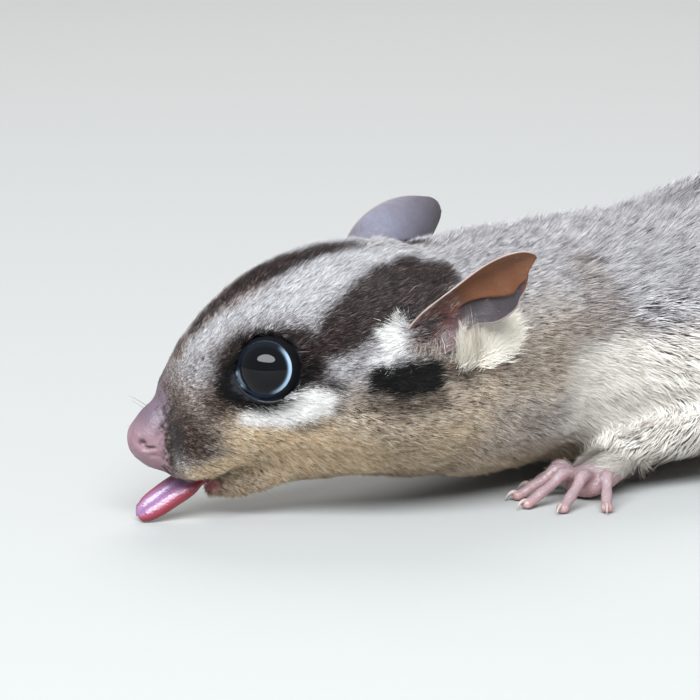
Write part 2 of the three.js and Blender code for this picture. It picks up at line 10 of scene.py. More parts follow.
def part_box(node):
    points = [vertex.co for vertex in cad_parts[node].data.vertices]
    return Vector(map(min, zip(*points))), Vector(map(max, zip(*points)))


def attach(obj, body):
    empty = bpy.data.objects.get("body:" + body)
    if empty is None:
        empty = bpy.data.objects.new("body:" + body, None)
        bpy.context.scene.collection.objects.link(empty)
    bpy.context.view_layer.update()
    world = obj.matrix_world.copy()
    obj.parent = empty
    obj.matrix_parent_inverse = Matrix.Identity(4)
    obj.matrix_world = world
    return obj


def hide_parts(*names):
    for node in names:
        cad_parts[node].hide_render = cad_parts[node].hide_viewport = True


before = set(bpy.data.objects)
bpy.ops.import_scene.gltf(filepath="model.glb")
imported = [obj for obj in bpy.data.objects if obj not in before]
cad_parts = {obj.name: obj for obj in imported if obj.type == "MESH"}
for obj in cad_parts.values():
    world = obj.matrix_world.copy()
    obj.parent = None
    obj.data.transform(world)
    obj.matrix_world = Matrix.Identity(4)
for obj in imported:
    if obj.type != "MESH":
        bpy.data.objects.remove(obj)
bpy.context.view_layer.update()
startTime = time.time()
mm = 0.001


def report(stage):
    print("%5.1f s  %s" % (time.time() - startTime, stage))


# Places. The head and the body each have their own millimetre grid, found from the two eyeballs.

headTilt = Euler((0, math.radians(10), math.radians(-22)), 'XYZ').to_matrix()
headAxes = np.array(headTilt)                # columns: its left, its back, its top


def middleOf(node):
    low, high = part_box(node)
    return (Vector(low) + Vector(high)) / 2


eyeMiddle = (middleOf("eye_left") + middleOf("eye_right")) / 2
noseTip = eyeMiddle - headTilt @ Vector((0, 14.6, 9.8)) * mm   # the eyes sit 14.6 behind it and 9.8 above
bodyZero = noseTip + headTilt @ Vector((0, 36, 7)) * mm - Vector((1.1, -0.5, 17.2)) * mm


def onHead(back, left, up):                  # from the nose tip
    return noseTip + headTilt @ Vector((left, back, up)) * mm


def onBody(x, y, z):
    return bodyZero + Vector((x, y, z)) * mm


def headGrid(places):                        # how far back, left and up each place is, in mm
    turned = (places - np.array(noseTip)) @ headAxes / mm
    return turned[:, [1, 0, 2]]


def bodyGrid(places):
    return (places - np.array(bodyZero)) / mm


def smoothStep(low, high, value):
    t = np.clip((value - low) / (high - low), 0, 1)
    return t * t * (3 - 2 * t)


def unit(vectors):
    return vectors / np.maximum(np.linalg.norm(vectors, axis=-1, keepdims=True), 1e-12)


def laidFlat(way, normals):                  # the part of each direction that runs along the surface
    return unit(way - (way * normals).sum(1, keepdims=True) * normals)


# Mesh helpers

def selectOnly(*objects):                    # the last one becomes the active one
    bpy.ops.object.select_all(action='DESELECT')
    for obj in objects:
        obj.select_set(True)
    bpy.context.view_layer.objects.active = objects[-1]


def valuesOf(items, key, width=3, kind=float):
    out = np.empty(len(items) * width, kind)
    items.foreach_get(key, out)
    return out.reshape(-1, width)


def verticesOf(obj):
    return valuesOf(obj.data.vertices, "co")


def normalsOf(obj):
    return valuesOf(obj.data.vertices, "normal")


def moveVertices(obj, places):
    obj.data.vertices.foreach_set("co", places.ravel())
    obj.data.update()


def meshObject(name, places, faces):
    me = bpy.data.meshes.new(name)
    me.from_pydata([tuple(p) for p in places], [], faces)
    obj = bpy.data.objects.new(name, me)
    bpy.context.collection.objects.link(obj)
    return obj


def setAttribute(obj, name, values):
    layer = obj.data.attributes.new(name, 'FLOAT', 'POINT')
    layer.data.foreach_set("value", np.asarray(values, np.float32))


def setColours(obj, name, columns):          # a colour attribute from its four lists of values
    layer = obj.data.attributes.new(name, 'FLOAT_COLOR', 'POINT')
    layer.data.foreach_set("color", np.stack(columns, 1).astype(np.float32).ravel())


def applied(obj, kind, **settings):
    bpy.context.view_layer.objects.active = obj
    modifier = obj.modifiers.new("step", kind)
    for key, value in settings.items():
        setattr(modifier, key, value)
    bpy.ops.object.modifier_apply(modifier=modifier.name)


def outwards(obj):
    selectOnly(obj)
    bpy.ops.object.mode_set(mode='EDIT')
    bpy.ops.mesh.select_all(action='SELECT')
    bpy.ops.mesh.normals_make_consistent(inside=False)
    bpy.ops.object.mode_set(mode='OBJECT')


def joined(objects, name):
    selectOnly(*reversed(objects))
    if len(objects) > 1:
        bpy.ops.object.join()
    objects[0].name = name
    return objects[0]


def finishPiece(obj, material, slot, *replaced):
    obj.data.materials.clear()
    obj.data.materials.append(material)
    selectOnly(obj)
    bpy.ops.object.transform_apply(location=True, rotation=True, scale=True)
    bpy.ops.object.shade_smooth()
    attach(obj, "root")
    if replaced:
        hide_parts(*replaced)


# Camera and light

camera = {"place": (316.9, -327.6, 98.7), "tilt": 80, "turn": 45, "lens": 199, "sensor": 36}
bpy.ops.object.select_all(action='DESELECT')
bpy.ops.object.camera_add(location=onBody(*camera["place"]),
                          rotation=(math.radians(camera["tilt"]), 0, math.radians(camera["turn"])))
cam = bpy.context.object
cam.data.lens = camera["lens"]
cam.data.sensor_width = camera["sensor"]
cam.data.clip_start = 0.01
bpy.context.scene.camera = cam


def aimedLight(name, place, target, size, power, tint=(1, 1, 1)):
    bpy.ops.object.light_add(type='AREA', location=onBody(*place))
    light = bpy.context.object
    light.name = name
    light.data.shape = 'ELLIPSE'
    light.data.size = size[0]
    light.data.size_y = size[1]
    light.data.energy = power
    light.data.color = tint
    light.rotation_euler = (onBody(*target) - light.location).to_track_quat('-Z', 'Y').to_euler()


aimedLight("skyPanel", (503, -788, 875), (-10, -20, 20), (1.5, 0.7), 39.0, (0.9, 0.96, 1.0))
aimedLight("backGlow", (-560, 620, 820), (0, 40, 20), (0.8, 0.8), 6.0, (1.0, 0.98, 0.95))

bpy.context.scene.view_settings.view_transform = 'Standard'
world = bpy.context.scene.world or bpy.data.worlds.new("studio")
bpy.context.scene.world = world
world.use_nodes = True
world.node_tree.nodes["Background"].inputs["Color"].default_value = (0.88, 0.94, 1.0, 1)
world.node_tree.nodes["Background"].inputs["Strength"].default_value = 0.4


# Material helpers

def newMaterial(name, **values):             # a Principled material with its plain values set
    mat = bpy.data.materials.new(name)
    mat.use_nodes = True
    shader = mat.node_tree.nodes["Principled BSDF"]
    for socket, value in values.items():
        shader.inputs[socket.replace("_", " ")].default_value = value
    return mat, mat.node_tree, shader


def node(tree, kind, inputs=None, **settings):
    made = tree.nodes.new(kind)
    for key, value in settings.items():
        setattr(made, key, value)
    for key, value in (inputs or {}).items():
        if isinstance(value, bpy.types.NodeSocket):
            tree.links.new(value, made.inputs[key])
        else:
            made.inputs[key].default_value = value
    return made


def mixColour(tree, factor, first, second, mode='MIX'):
    made = node(tree, "ShaderNodeMix", data_type='RGBA', blend_type=mode)
    for socket, value in ((0, factor), (6, first), (7, second)):
        if isinstance(value, bpy.types.NodeSocket):
            tree.links.new(value, made.inputs[socket])
        else:
            made.inputs[socket].default_value = value if socket == 0 else (*value, 1)
    return made.outputs[2]


def blotched(tree, mask, share, first, second):   # the second colour, by a share of the mask
    return mixColour(tree, sums(tree, 'MULTIPLY', mask, share), first, second)


def sums(tree, operation, first, second):
    made = node(tree, "ShaderNodeMath", operation=operation)
    for socket, value in enumerate((first, second)):
        if isinstance(value, bpy.types.NodeSocket):
            tree.links.new(value, made.inputs[socket])
        else:
            made.inputs[socket].default_value = value
    return made.outputs[0]


def attribute(tree, name):
    return node(tree, "ShaderNodeAttribute", attribute_name=name).outputs["Fac"]


def channels(tree, name):                    # the four values of a colour attribute
    layer = node(tree, "ShaderNodeAttribute", attribute_name=name)
    split = node(tree, "ShaderNodeSeparateColor", {"Color": layer.outputs["Color"]}).outputs
    return split[0], split[1], split[2], layer.outputs["Alpha"]


def objectPlace(tree):
    return node(tree, "ShaderNodeTexCoord").outputs["Object"]


def noise(tree, place, scale, detail, **more):
    values = {"Vector": place, "Scale": scale, "Detail": detail, **more}
    return node(tree, "ShaderNodeTexNoise", values).outputs["Fac"]


def cells(tree, place, scale):
    return node(tree, "ShaderNodeTexVoronoi", {"Vector": place, "Scale": scale}).outputs["Distance"]


def mapRange(tree, value, low, high, first=0.0, last=1.0, **settings):
    values = {"Value": value, "From Min": low, "From Max": high, "To Min": first, "To Max": last}
    return node(tree, "ShaderNodeMapRange", values, **settings).outputs[0]


def ramp(tree, factor, stops):
    made = node(tree, "ShaderNodeValToRGB", {"Fac": factor})
    elements = made.color_ramp.elements
    while len(elements) < len(stops):
        elements.new(0.5)
    for element, (place, colour) in zip(elements, stops):
        element.position = place
        element.color = (*colour, 1)
    return made.outputs["Color"]


def bumpFrom(tree, shader, height, strength, distance):
    bump = node(tree, "ShaderNodeBump", {"Height": height, "Strength": strength, "Distance": distance})
    tree.links.new(bump.outputs["Normal"], shader.inputs["Normal"])


# The plain floor that it stands on
bpy.ops.mesh.primitive_plane_add(size=12, location=(0, 0, 0))
floor = bpy.context.object
floor.name = "studioFloor"
floorPaint, tree, shader = newMaterial("palePaper", Base_Color=(0.44, 0.436, 0.424, 1), Roughness=0.85)
grain = node(tree, "ShaderNodeTexNoise", {"Scale": 900, "Detail": 3})
bumpFrom(tree, shader, grain.outputs["Fac"], 0.05, 0.0002)
floor.data.materials.append(floorPaint)
report("camera, light and floor")


# The skin: one closed surface over all the flesh, which lies inside the solids by the depth of the coat

tail = {
    "line": [(0, 119, 18), (0.4, 131, 13.2), (2, 148, 9.4), (8, 174, 9.2), (14, 205, 9.3), (14, 238, 8.4),
             (5, 268, 6.4), (-8, 290, 4.2)],
    "core": 0.5,                             # of the coat's reach
    "steps": 60,
}


def coatReach(share):                        # from the tail's line to the tips of its coat, in mm
    rise = 2.8 * np.sin(np.minimum(1, share * 2.4) * np.pi / 2)
    return 7.4 + rise - 5.2 * np.maximum(0, (share - 0.5) / 0.5) ** 1.7


def smoothLine(points, steps):               # even steps along a curve through the points
    line = np.array(points, float)
    padded = np.vstack([2 * line[0] - line[1], line, 2 * line[-1] - line[-2]])
    out = []
    for i in range(1, len(padded) - 2):
        a, b, c, d = padded[i - 1:i + 3]
        for t in np.linspace(0, 1, 20, endpoint=False):
            out.append(0.5 * (2 * b + (c - a) * t + (2 * a - 5 * b + 4 * c - d) * t ** 2
                              + (3 * b - a - 3 * c + d) * t ** 3))
    out = np.array(out + [line[-1]])
    along = np.concatenate([[0], np.cumsum(np.linalg.norm(np.diff(out[:, :3], axis=0), axis=1))])
    places = np.linspace(0, along[-1], steps + 1)
    return np.stack([np.interp(places, along, out[:, k]) for k in range(out.shape[1])], 1)


tailLine = smoothLine(tail["line"], tail["steps"])
tailAlong = unit(np.gradient(tailLine, axis=0))


def tailStep(body):                          # the nearest step of the tail's line
    return ((body[:, None, :] - tailLine[None, :, :]) ** 2).sum(2).argmin(1)


def copyOfNodes(names, name):                # a merged copy of CAD nodes, as one mesh
    copies = []
    for n in names:
        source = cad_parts[n]
        copy = bpy.data.objects.new(n + "_copy", source.data.copy())
        copy.matrix_world = source.matrix_world
        bpy.context.collection.objects.link(copy)
        copy.data.materials.clear()
        copies.append(copy)
    selectOnly(*copies)
    bpy.ops.object.join()
    made = bpy.context.object
    bpy.ops.object.transform_apply(location=True, rotation=True, scale=True)
    made.name = name
    bpy.ops.object.mode_set(mode='EDIT')
    bpy.ops.mesh.select_all(action='SELECT')
    bpy.ops.mesh.remove_doubles(threshold=1e-6)
    bpy.ops.object.mode_set(mode='OBJECT')
    return made


def tailCore():                              # a curve with a round section, made a mesh
    curve = bpy.data.curves.new("tailCore", 'CURVE')
    curve.dimensions = '3D'
    curve.bevel_depth = mm
    curve.bevel_resolution = 5
    curve.use_fill_caps = True
    spline = curve.splines.new('POLY')
    spline.points.add(len(tailLine) - 1)
    for i, place in enumerate(tailLine):
        spline.points[i].co = (*onBody(*place), 1)
        spline.points[i].radius = coatReach(i / tail["steps"]) * tail["core"]
    obj = bpy.data.objects.new("tailCore", curve)
    bpy.context.collection.objects.link(obj)
    selectOnly(obj)
    bpy.ops.object.convert(target='MESH')
    return bpy.context.object


skinSettings = {
    "swell": 0.35 * mm,                      # closes the thin seams between the solids
    "voxel": 0.62 * mm,
    "snout": 8.0,                            # mm behind the nose tip where the mesh is made four times finer,
    "snoutHalf": 12,                         # and to each side
}
sidePairs = {"left": 1, "right": -1}         # and the sign of each in x
trunkNodes = ["head", "nose", "lower_jaw", "neck", "torso"]
limbNodes = [part + "_" + side for side in sidePairs
             for part in ("upper_arm", "forearm", "thigh", "shin", "patagium")]
tailNodes = ["tail_%d" % i for i in (1, 2, 3, 4)]


def regionTree():                            # tells which node is nearest to a place on the skin
    corners, faces, owners = [], [], []
    names = trunkNodes + limbNodes
    for k, n in enumerate(names + ["tailCore"]):
        obj = core if n == "tailCore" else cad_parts[n]
        base = len(corners)
        corners += [obj.matrix_world @ v.co for v in obj.data.vertices]
        obj.data.calc_loop_triangles()
        for tri in obj.data.loop_triangles:
            faces.append([base + v for v in tri.vertices])
            owners.append(k)
    return BVHTree.FromPolygons(corners, faces), owners, names + ["tailCore"]


core = tailCore()
nearest, owners, regionNames = regionTree()
skin = copyOfNodes(trunkNodes + limbNodes, "skin")
selectOnly(core, skin)
bpy.ops.object.join()
applied(skin, 'DISPLACE', strength=skinSettings["swell"], mid_level=0)
applied(skin, 'REMESH', mode='VOXEL', voxel_size=skinSettings["voxel"])
applied(skin, 'SMOOTH', factor=0.5, iterations=7)


def refineSnout():
    selectOnly(skin)
    bpy.ops.object.mode_set(mode='EDIT')
    bpy.ops.mesh.select_all(action='DESELECT')
    bpy.ops.object.mode_set(mode='OBJECT')
    grid = headGrid(valuesOf(skin.data.polygons, "center"))
    near = (grid[:, 0] < skinSettings["snout"]) & (np.abs(grid[:, 1]) < skinSettings["snoutHalf"])
    skin.data.polygons.foreach_set("select", near)
    bpy.ops.object.mode_set(mode='EDIT')
    bpy.ops.mesh.subdivide(number_cuts=3, smoothness=0.6)
    bpy.ops.object.mode_set(mode='OBJECT')


refineSnout()
report("skin remeshed, %d faces" % len(skin.data.polygons))


def relax(values, edges, rounds):            # spreads values over neighbouring vertices
    values = np.array(values, float)
    flat = values.reshape(len(values), -1)
    count = np.bincount(edges.ravel(), minlength=len(flat))[:, None] + 1
    for _ in range(rounds):
        total = flat.copy()
        for k in range(flat.shape[1]):
            total[:, k] += np.bincount(edges[:, 0], flat[edges[:, 1], k], len(flat))
            total[:, k] += np.bincount(edges[:, 1], flat[edges[:, 0], k], len(flat))
        flat = total / count
    return flat.reshape(values.shape)


# How the coat lies: length, depth under the solids, width of a tuft, all in mm, by part of the body
coatBy = {
    "head": {"length": 2.1, "depth": 0.75, "width": 0.15},
    "nose": {"length": 0.7, "depth": 0.0, "width": 0.07},
    "lower_jaw": {"length": 1.9, "depth": 0.6, "width": 0.13},
    "neck": {"length": 2.7, "depth": 1.5, "width": 0.13},
    "torso": {"length": 3.9, "depth": 2.1, "width": 0.16},
    "upper_arm": {"length": 3.4, "depth": 1.5, "width": 0.14},
    "forearm": {"length": 2.3, "depth": 0.8, "width": 0.12},
    "thigh": {"length": 4.2, "depth": 1.9, "width": 0.17},
    "shin": {"length": 2.6, "depth": 0.9, "width": 0.14},
    "patagium": {"length": 3.4, "depth": 1.3, "width": 0.15},
    "tailCore": {"length": 12.0, "depth": 0.0, "width": 0.22},
}
eyeSpots = {side: np.array([14.6, 5.8 * sign, 9.8]) for side, sign in sidePairs.items()}


def kindOf(region):
    return region.replace("_left", "").replace("_right", "")


lieBy = {                                    # the way the hair points, and how far it turns outwards
    "neck": ((0, 1, -0.15), 0.1), "upper_arm": ((0, 1, -0.35), 0.3), "forearm": ((0, -0.75, -0.5), -0.15),
    "thigh": ((0, 0.55, -0.75), 0.3), "shin": ((0, 1, -0.25), 0.05), "patagium": ((0, 0.8, -0.6), 0.3),
}


def lieOf(region, places, back, body):       # the way the hair lies on each part, before it is laid flat
    side = np.sign(body[:, :1]) * np.array([[1, 0, 0]])
    kind = kindOf(region)
    if kind in ("head", "nose", "lower_jaw"):
        flow = places - np.array(onHead(-7, 0, 2))           # spreads from just ahead of the nose
        flow = unit(flow)
        low = smoothStep(6, -4, back[:, 2:3]) * smoothStep(10, 20, back[:, 0:1])
        flow = flow + low * np.array([[0, 0, -0.2]])
        for spot in eyeSpots.values():                        # and parts round each eye
            away = back - spot
            gap = np.linalg.norm(away, axis=1, keepdims=True)
            push = unit(away)[:, [1, 0, 2]] @ headAxes.T
            flow = flow + push * np.exp(-((gap - 3.5) / 2.2) ** 2) * 1.1
        return flow
    if kind == "torso":
        flank = np.clip(np.abs(body[:, :1]) / 20, 0, 1)
        return np.array([[0, 1, 0]]) + flank * np.array([[0, 0, -0.45]])
    if kind in lieBy:
        way, outward = lieBy[kind]
        return np.array([way]) + side * outward
    return tailAlong[tailStep(body)]


skinPlaces = verticesOf(skin)
skinRegion = np.array([owners[nearest.find_nearest(Vector(p))[2]] for p in skinPlaces])
skinEdges = valuesOf(skin.data.edges, "vertices", 2, int)
skinHead = headGrid(skinPlaces)
skinBody = bodyGrid(skinPlaces)
lie = np.zeros_like(skinPlaces)
coat = {key: np.zeros(len(skinPlaces)) for key in ("length", "depth", "width")}
for k, region in enumerate(regionNames):
    chosen = skinRegion == k
    if not chosen.any():
        continue
    flow = np.broadcast_to(lieOf(region, skinPlaces[chosen], skinHead[chosen], skinBody[chosen]),
                           (chosen.sum(), 3))
    lie[chosen] = unit(flow)
    for key in coat:
        coat[key][chosen] = coatBy[kindOf(region)][key]
onFace = (skinRegion == regionNames.index("head")) | (skinRegion == regionNames.index("lower_jaw"))
faceGrowth = 0.4 + 0.6 * smoothStep(3, 24, skinHead[:, 0]) + 0.35 * smoothStep(26, 38, skinHead[:, 0])
faceDepth = smoothStep(3, 9, skinHead[:, 0]) * (0.45 + 0.55 * smoothStep(8, 24, skinHead[:, 0]))
coat["length"] = np.where(onFace, coat["length"] * faceGrowth, coat["length"])
coat["depth"] = np.where(onFace, coat["depth"] * faceDepth, coat["depth"])
faceWidth = 0.6 + 0.4 * smoothStep(4, 18, skinHead[:, 0])
coat["width"] = np.where(onFace, coat["width"] * faceWidth, coat["width"])
lie = relax(lie, skinEdges, 12)
for key in coat:
    coat[key] = relax(coat[key], skinEdges, 10)
report("lie of the coat")

unswell = 0.35 + 0.45 * smoothStep(2, 8, skinHead[:, 0])
drop = relax(coat["depth"], skinEdges, 6) * mm + skinSettings["swell"] * unswell
moveVertices(skin, skinPlaces - normalsOf(skin) * drop[:, None])
applied(skin, 'SMOOTH', factor=0.4, iterations=3)

# The throat is drawn smooth
throat = smoothStep(13, 19, skinHead[:, 0]) * smoothStep(46, 36, skinHead[:, 0])
throat = throat * smoothStep(2, -3, skinHead[:, 2])
throat = relax(throat, skinEdges, 8)[:, None]
loose = verticesOf(skin)
moveVertices(skin, loose + (relax(loose, skinEdges, 160) - loose) * throat)

# Dents pressed into the skin of the snout: back, out, up, reach along each of these, depth, all in mm
dents = {
    "nostril": [(0.75, 2.0, 0.1, 0.45, 0.5, 0.42, 1.0), (1.15, 2.4, -0.5, 0.5, 0.5, 0.26, 0.8),
                (1.7, 2.8, -0.3, 0.45, 0.45, 0.2, 0.5)],
    "groove": [(0.2, 0, 0.4, 1.5, 0.26, 1.0, 0.25), (0.9, 0, -1.4, 1.3, 0.26, 1.3, 0.36),
               (2.2, 0, -3.2, 1.6, 0.3, 1.2, 0.4)],
    "wing": [(2.4, 2.9, 1.2, 0.5, 0.6, 0.7, 0.14), (2.0, 2.6, -1.3, 0.9, 0.6, 0.35, 0.16)],
}


def pressed(grid, spot):                     # how far a place is inside a dent, 0 to 1
    back, out, up, a, b, c, _ = spot
    away = (np.stack([grid[:, 0], np.abs(grid[:, 1]), grid[:, 2]], 1) - (back, out, up)) / (a, b, c)
    return np.exp(-(away ** 2).sum(1))


skinPlaces = verticesOf(skin)
skinNormals = normalsOf(skin)
skinHead = headGrid(skinPlaces)
for spot in dents["nostril"] + dents["groove"] + dents["wing"]:
    skinPlaces = skinPlaces - skinNormals * (spot[-1] * mm * pressed(skinHead, spot))[:, None]
skinPlaces[:, 2] = np.maximum(skinPlaces[:, 2], 0.6 * mm)
moveVertices(skin, skinPlaces)
skinNormals = normalsOf(skin)
skinHead = headGrid(skinPlaces)
lie = laidFlat(lie, skinNormals)
tailShare = tailStep(bodyGrid(skinPlaces)) / tail["steps"]
tailDepth = coatReach(tailShare) * (1 - tail["core"])
onTail = relax(skinRegion == regionNames.index("tailCore"), skinEdges, 12)
coat["rise"] = coat["depth"] * (1 - onTail) + tailDepth * onTail * 0.92


# Bare skin: the nose pad, the rims of the lids and the lips
eye = {
    "radius": 4.1,
    "axis": (0.82, -0.56, 0.29),             # left, back, up, mirrored for the right
    "bulge": 0.1,
    "opening": 3.2,                          # half width between the lids
    "corner": 0.5,                           # how much further the front corner reaches
    "cornerTurn": 200,                       # degrees round the axis, from the rear, over the top
    "bareRim": 3.25,
}
lips = [(3.6, 2.2, -3.0, 0.25), (5.4, 3.2, -3.9, 0.3), (7.4, 3.8, -4.5, 0.5), (9.0, 3.2, -5.3, 0.9),
        (10.0, 1.8, -6.0, 1.0), (10.4, 0, -6.2, 1.0)]


def eyeFrame(side):                          # the eye's own directions: out, towards the rear, up
    sign = sidePairs[side]
    out = headTilt @ Vector((eye["axis"][0] * sign, eye["axis"][1], eye["axis"][2])).normalized()
    rear = headTilt @ Vector((0, 1, 0))
    rear = (rear - out * rear.dot(out)).normalized()
    top = out.cross(rear) * sign
    if top.dot(headTilt @ Vector((0, 0, 1))) < 0:
        top = -top
    return middleOf("eye_" + side), out, rear, top


def roundEye(places, side):                  # distance from the eye's axis in mm, and degrees round it
    centre, out, rear, top = (np.array(v) for v in eyeFrame(side))
    away = (places - centre) / mm
    flat = away - (away @ out)[:, None] * out
    far = np.where(away @ out > -1, np.linalg.norm(flat, axis=1), 99)
    return far, np.degrees(np.arctan2(flat @ top, flat @ rear)) % 360


def turnFrom(middle, turn):                  # degrees from a middle, -180 to 180
    return (turn - middle + 180) % 360 - 180


def hump(middle, width, turn):               # 1 at a middle in degrees, less to both sides of it
    return np.exp(-(turnFrom(middle, turn) / width) ** 2)


def bareRim(turn):                           # reach of the bare skin, further at the front corner and below
    return eye["bareRim"] + 2.1 * hump(207, 32, turn) + 1.0 * hump(275, 45, turn)


bare = {"eye": np.zeros(len(skinPlaces))}
for side in sidePairs:
    far, turn = roundEye(skinPlaces, side)
    bare["eye"] = np.maximum(bare["eye"], smoothStep(0.35, -0.15, far - bareRim(turn)))
report("skin laid under the coat")


# Markings, the same on the skin and on the coat; markingsAt also lays painted shade over them on the neck,
# shoulder and jaw. Each is a chain of places on the head with a reach, in mm:
# back from the nose tip, out to the side, up, reach.

markings = {
    "dark": [
        [(5.6, 0, 10.2, 0.4), (7.6, 0, 14.6, 0.9), (11, 0, 18.2, 2.0), (15, 0, 20.6, 3.0), (19, 0, 22.2, 2.5),
         (25, 0, 23.4, 1.9), (28.5, 0, 23.8, 1.1)],
        [(18.5, 9.9, 13.0, 1.7), (21, 10.3, 15.0, 2.7), (24, 9.7, 17.2, 3.4), (28, 8.0, 19.2, 3.6),
         (32, 6.5, 19.8, 3.4), (36, 5.3, 20.2, 2.2)],
        [(12.2, 6.6, 9.8, 4.7), (14.2, 7.4, 10.4, 4.9), (16.0, 8.6, 11.4, 4.2)],
        [(15.6, 9.0, 7.4, 1.6), (18.4, 10.4, 8.4, 1.4), (20.6, 11.4, 9.0, 0.9)],
        [(20, 11.6, 9.6, 0.6), (20.6, 11.9, 6.0, 0.6)],
        [(17, 9.3, 3.0, 0.3), (18.6, 10.5, 4.0, 0.5)],
        [(4.4, 3.0, 1.8, 0.4), (4.8, 3.3, 0.4, 0.8), (5.2, 3.6, -0.8, 0.6)],
    ],
    "brown": [
        [(4.6, 1.0, 6.4, 0.9), (5.4, 3.0, 2.6, 2.4), (6.6, 4.0, 0.2, 2.6), (8.4, 4.6, -0.8, 1.2)],
        [(12.4, 6.9, 5.0, 0.7), (16.5, 9.3, 4.0, 0.5)],
        [(8.6, 4.8, 5.0, 2.0), (9.6, 5.4, 8.0, 1.6)],
        [(24, 12.7, 7.4, 0.9), (29, 13.5, 6.6, 1.2), (33, 13.1, 7.0, 1.1)],
        [(34.0, 12.6, 10.6, 1.3), (37, 12.1, 9.4, 1.1)],
        [(30.8, 11.6, 14.0, 1.1), (33.6, 11.2, 14.2, 1.5)],
    ],
    "pale": [
        [(6.8, 2.1, 11.8, 1.2), (9.5, 3.0, 14.6, 1.4), (12, 3.9, 16.6, 1.6), (15, 5.1, 18.1, 2.1),
         (18, 5.6, 19.2, 2.9), (21, 4.7, 20.6, 2.8), (25, 3.6, 22.4, 2.0), (30, 2.7, 22.9, 1.3),
         (36, 2.9, 22.4, 1.2)],
        [(5.8, 1.7, 9.4, 0.6), (6.8, 2.1, 11.8, 1.1)],
    ],
    "white": [
        [(11.4, 7.0, 4.0, 1.0), (14.2, 8.7, 4.8, 1.7), (17.0, 10.0, 6.3, 2.2), (19.0, 11.0, 7.0, 1.8)],
        [(25.6, 11.2, 14.8, 0.8), (27.0, 11.8, 14.2, 1.1)],
        [(27.2, 12.2, 13.0, 0.9), (23.6, 12.6, 11.6, 0.4)],
    ],
    "cream": [
        [(36.4, 11.3, 12.6, 2.0), (39.4, 10.5, 13.1, 2.7), (42.4, 9.3, 13.1, 2.0)],
    ],
    "black": [
        [(25.0, 13.1, 10.0, 1.6), (28.0, 13.5, 9.7, 2.4), (31.4, 13.4, 10.2, 2.2)],
        [(9.8, 5.2, 7.8, 0.9), (11.6, 5.8, 8.8, 2.4), (13.4, 6.4, 9.8, 3.6), (15.0, 7.4, 10.6, 3.4)],
        [(15.0, 8.0, 12.0, 2.0), (17.6, 10.0, 10.4, 1.2)],
    ],
    "taupe": [
        [(4.5, 1, 5.6, 3.0), (7, 3.7, 3.6, 4.0), (10, 4.7, 4.6, 4.0)],
        [(5, 0, 10.6, 2.5), (8, 1.7, 13.6, 2.5), (12, 1.7, 18.6, 2.8)],
    ],
    "ticked": [
        [(24, 12.7, 5.6, 3.0), (32, 13.2, 4.6, 5), (42, 11.7, 7.6, 6)],
    ],
}


softness = {"brown": 1.5, "pale": 0.9, "taupe": 2.0, "ticked": 3.0, "dark": 0.7, "black": 0.5}   # mm
paintedShadeChain = [(15.5, 5, 17.5, 2.5), (13, 19, 21.5, 3.0), (9, 19, 26, 2.6)]   # painted shade on the neck and shoulder: out, back, up, reach


def waver(places, size):                     # smooth unevenness from -1 to 1, of a given size in mm
    x, y, z = (places / size * 2 * np.pi).T
    a = np.sin(x + 1.7 * np.sin(y * 0.61 + 0.4)) * np.sin(y * 1.13 + 2.1 * np.sin(z * 0.53))
    b = np.sin(z * 0.91 + 1.3 * np.sin(x * 0.71 + 1.9)) * np.sin(x * 0.83 + 1.1 * y * 0.37)
    return (a + b) / 2


def chainMask(grid, chain, soft):            # 1 inside a chain of places, 0 outside
    best = np.full(len(grid), -1e3)
    for start, end in zip(chain[:-1], chain[1:]):
        a, b = np.array(start[:3], float), np.array(end[:3], float)
        t = np.clip(((grid - a) @ (b - a)) / ((b - a) @ (b - a)), 0, 1)
        gap = np.linalg.norm(grid - (a + t[:, None] * (b - a)), axis=1)
        best = np.maximum(best, start[3] + (end[3] - start[3]) * t - gap)
    return smoothStep(-soft, soft, best)


def folded(head):                            # both sides of the head laid on the left one
    return np.stack([head[:, 0], np.abs(head[:, 1]), head[:, 2]], 1)


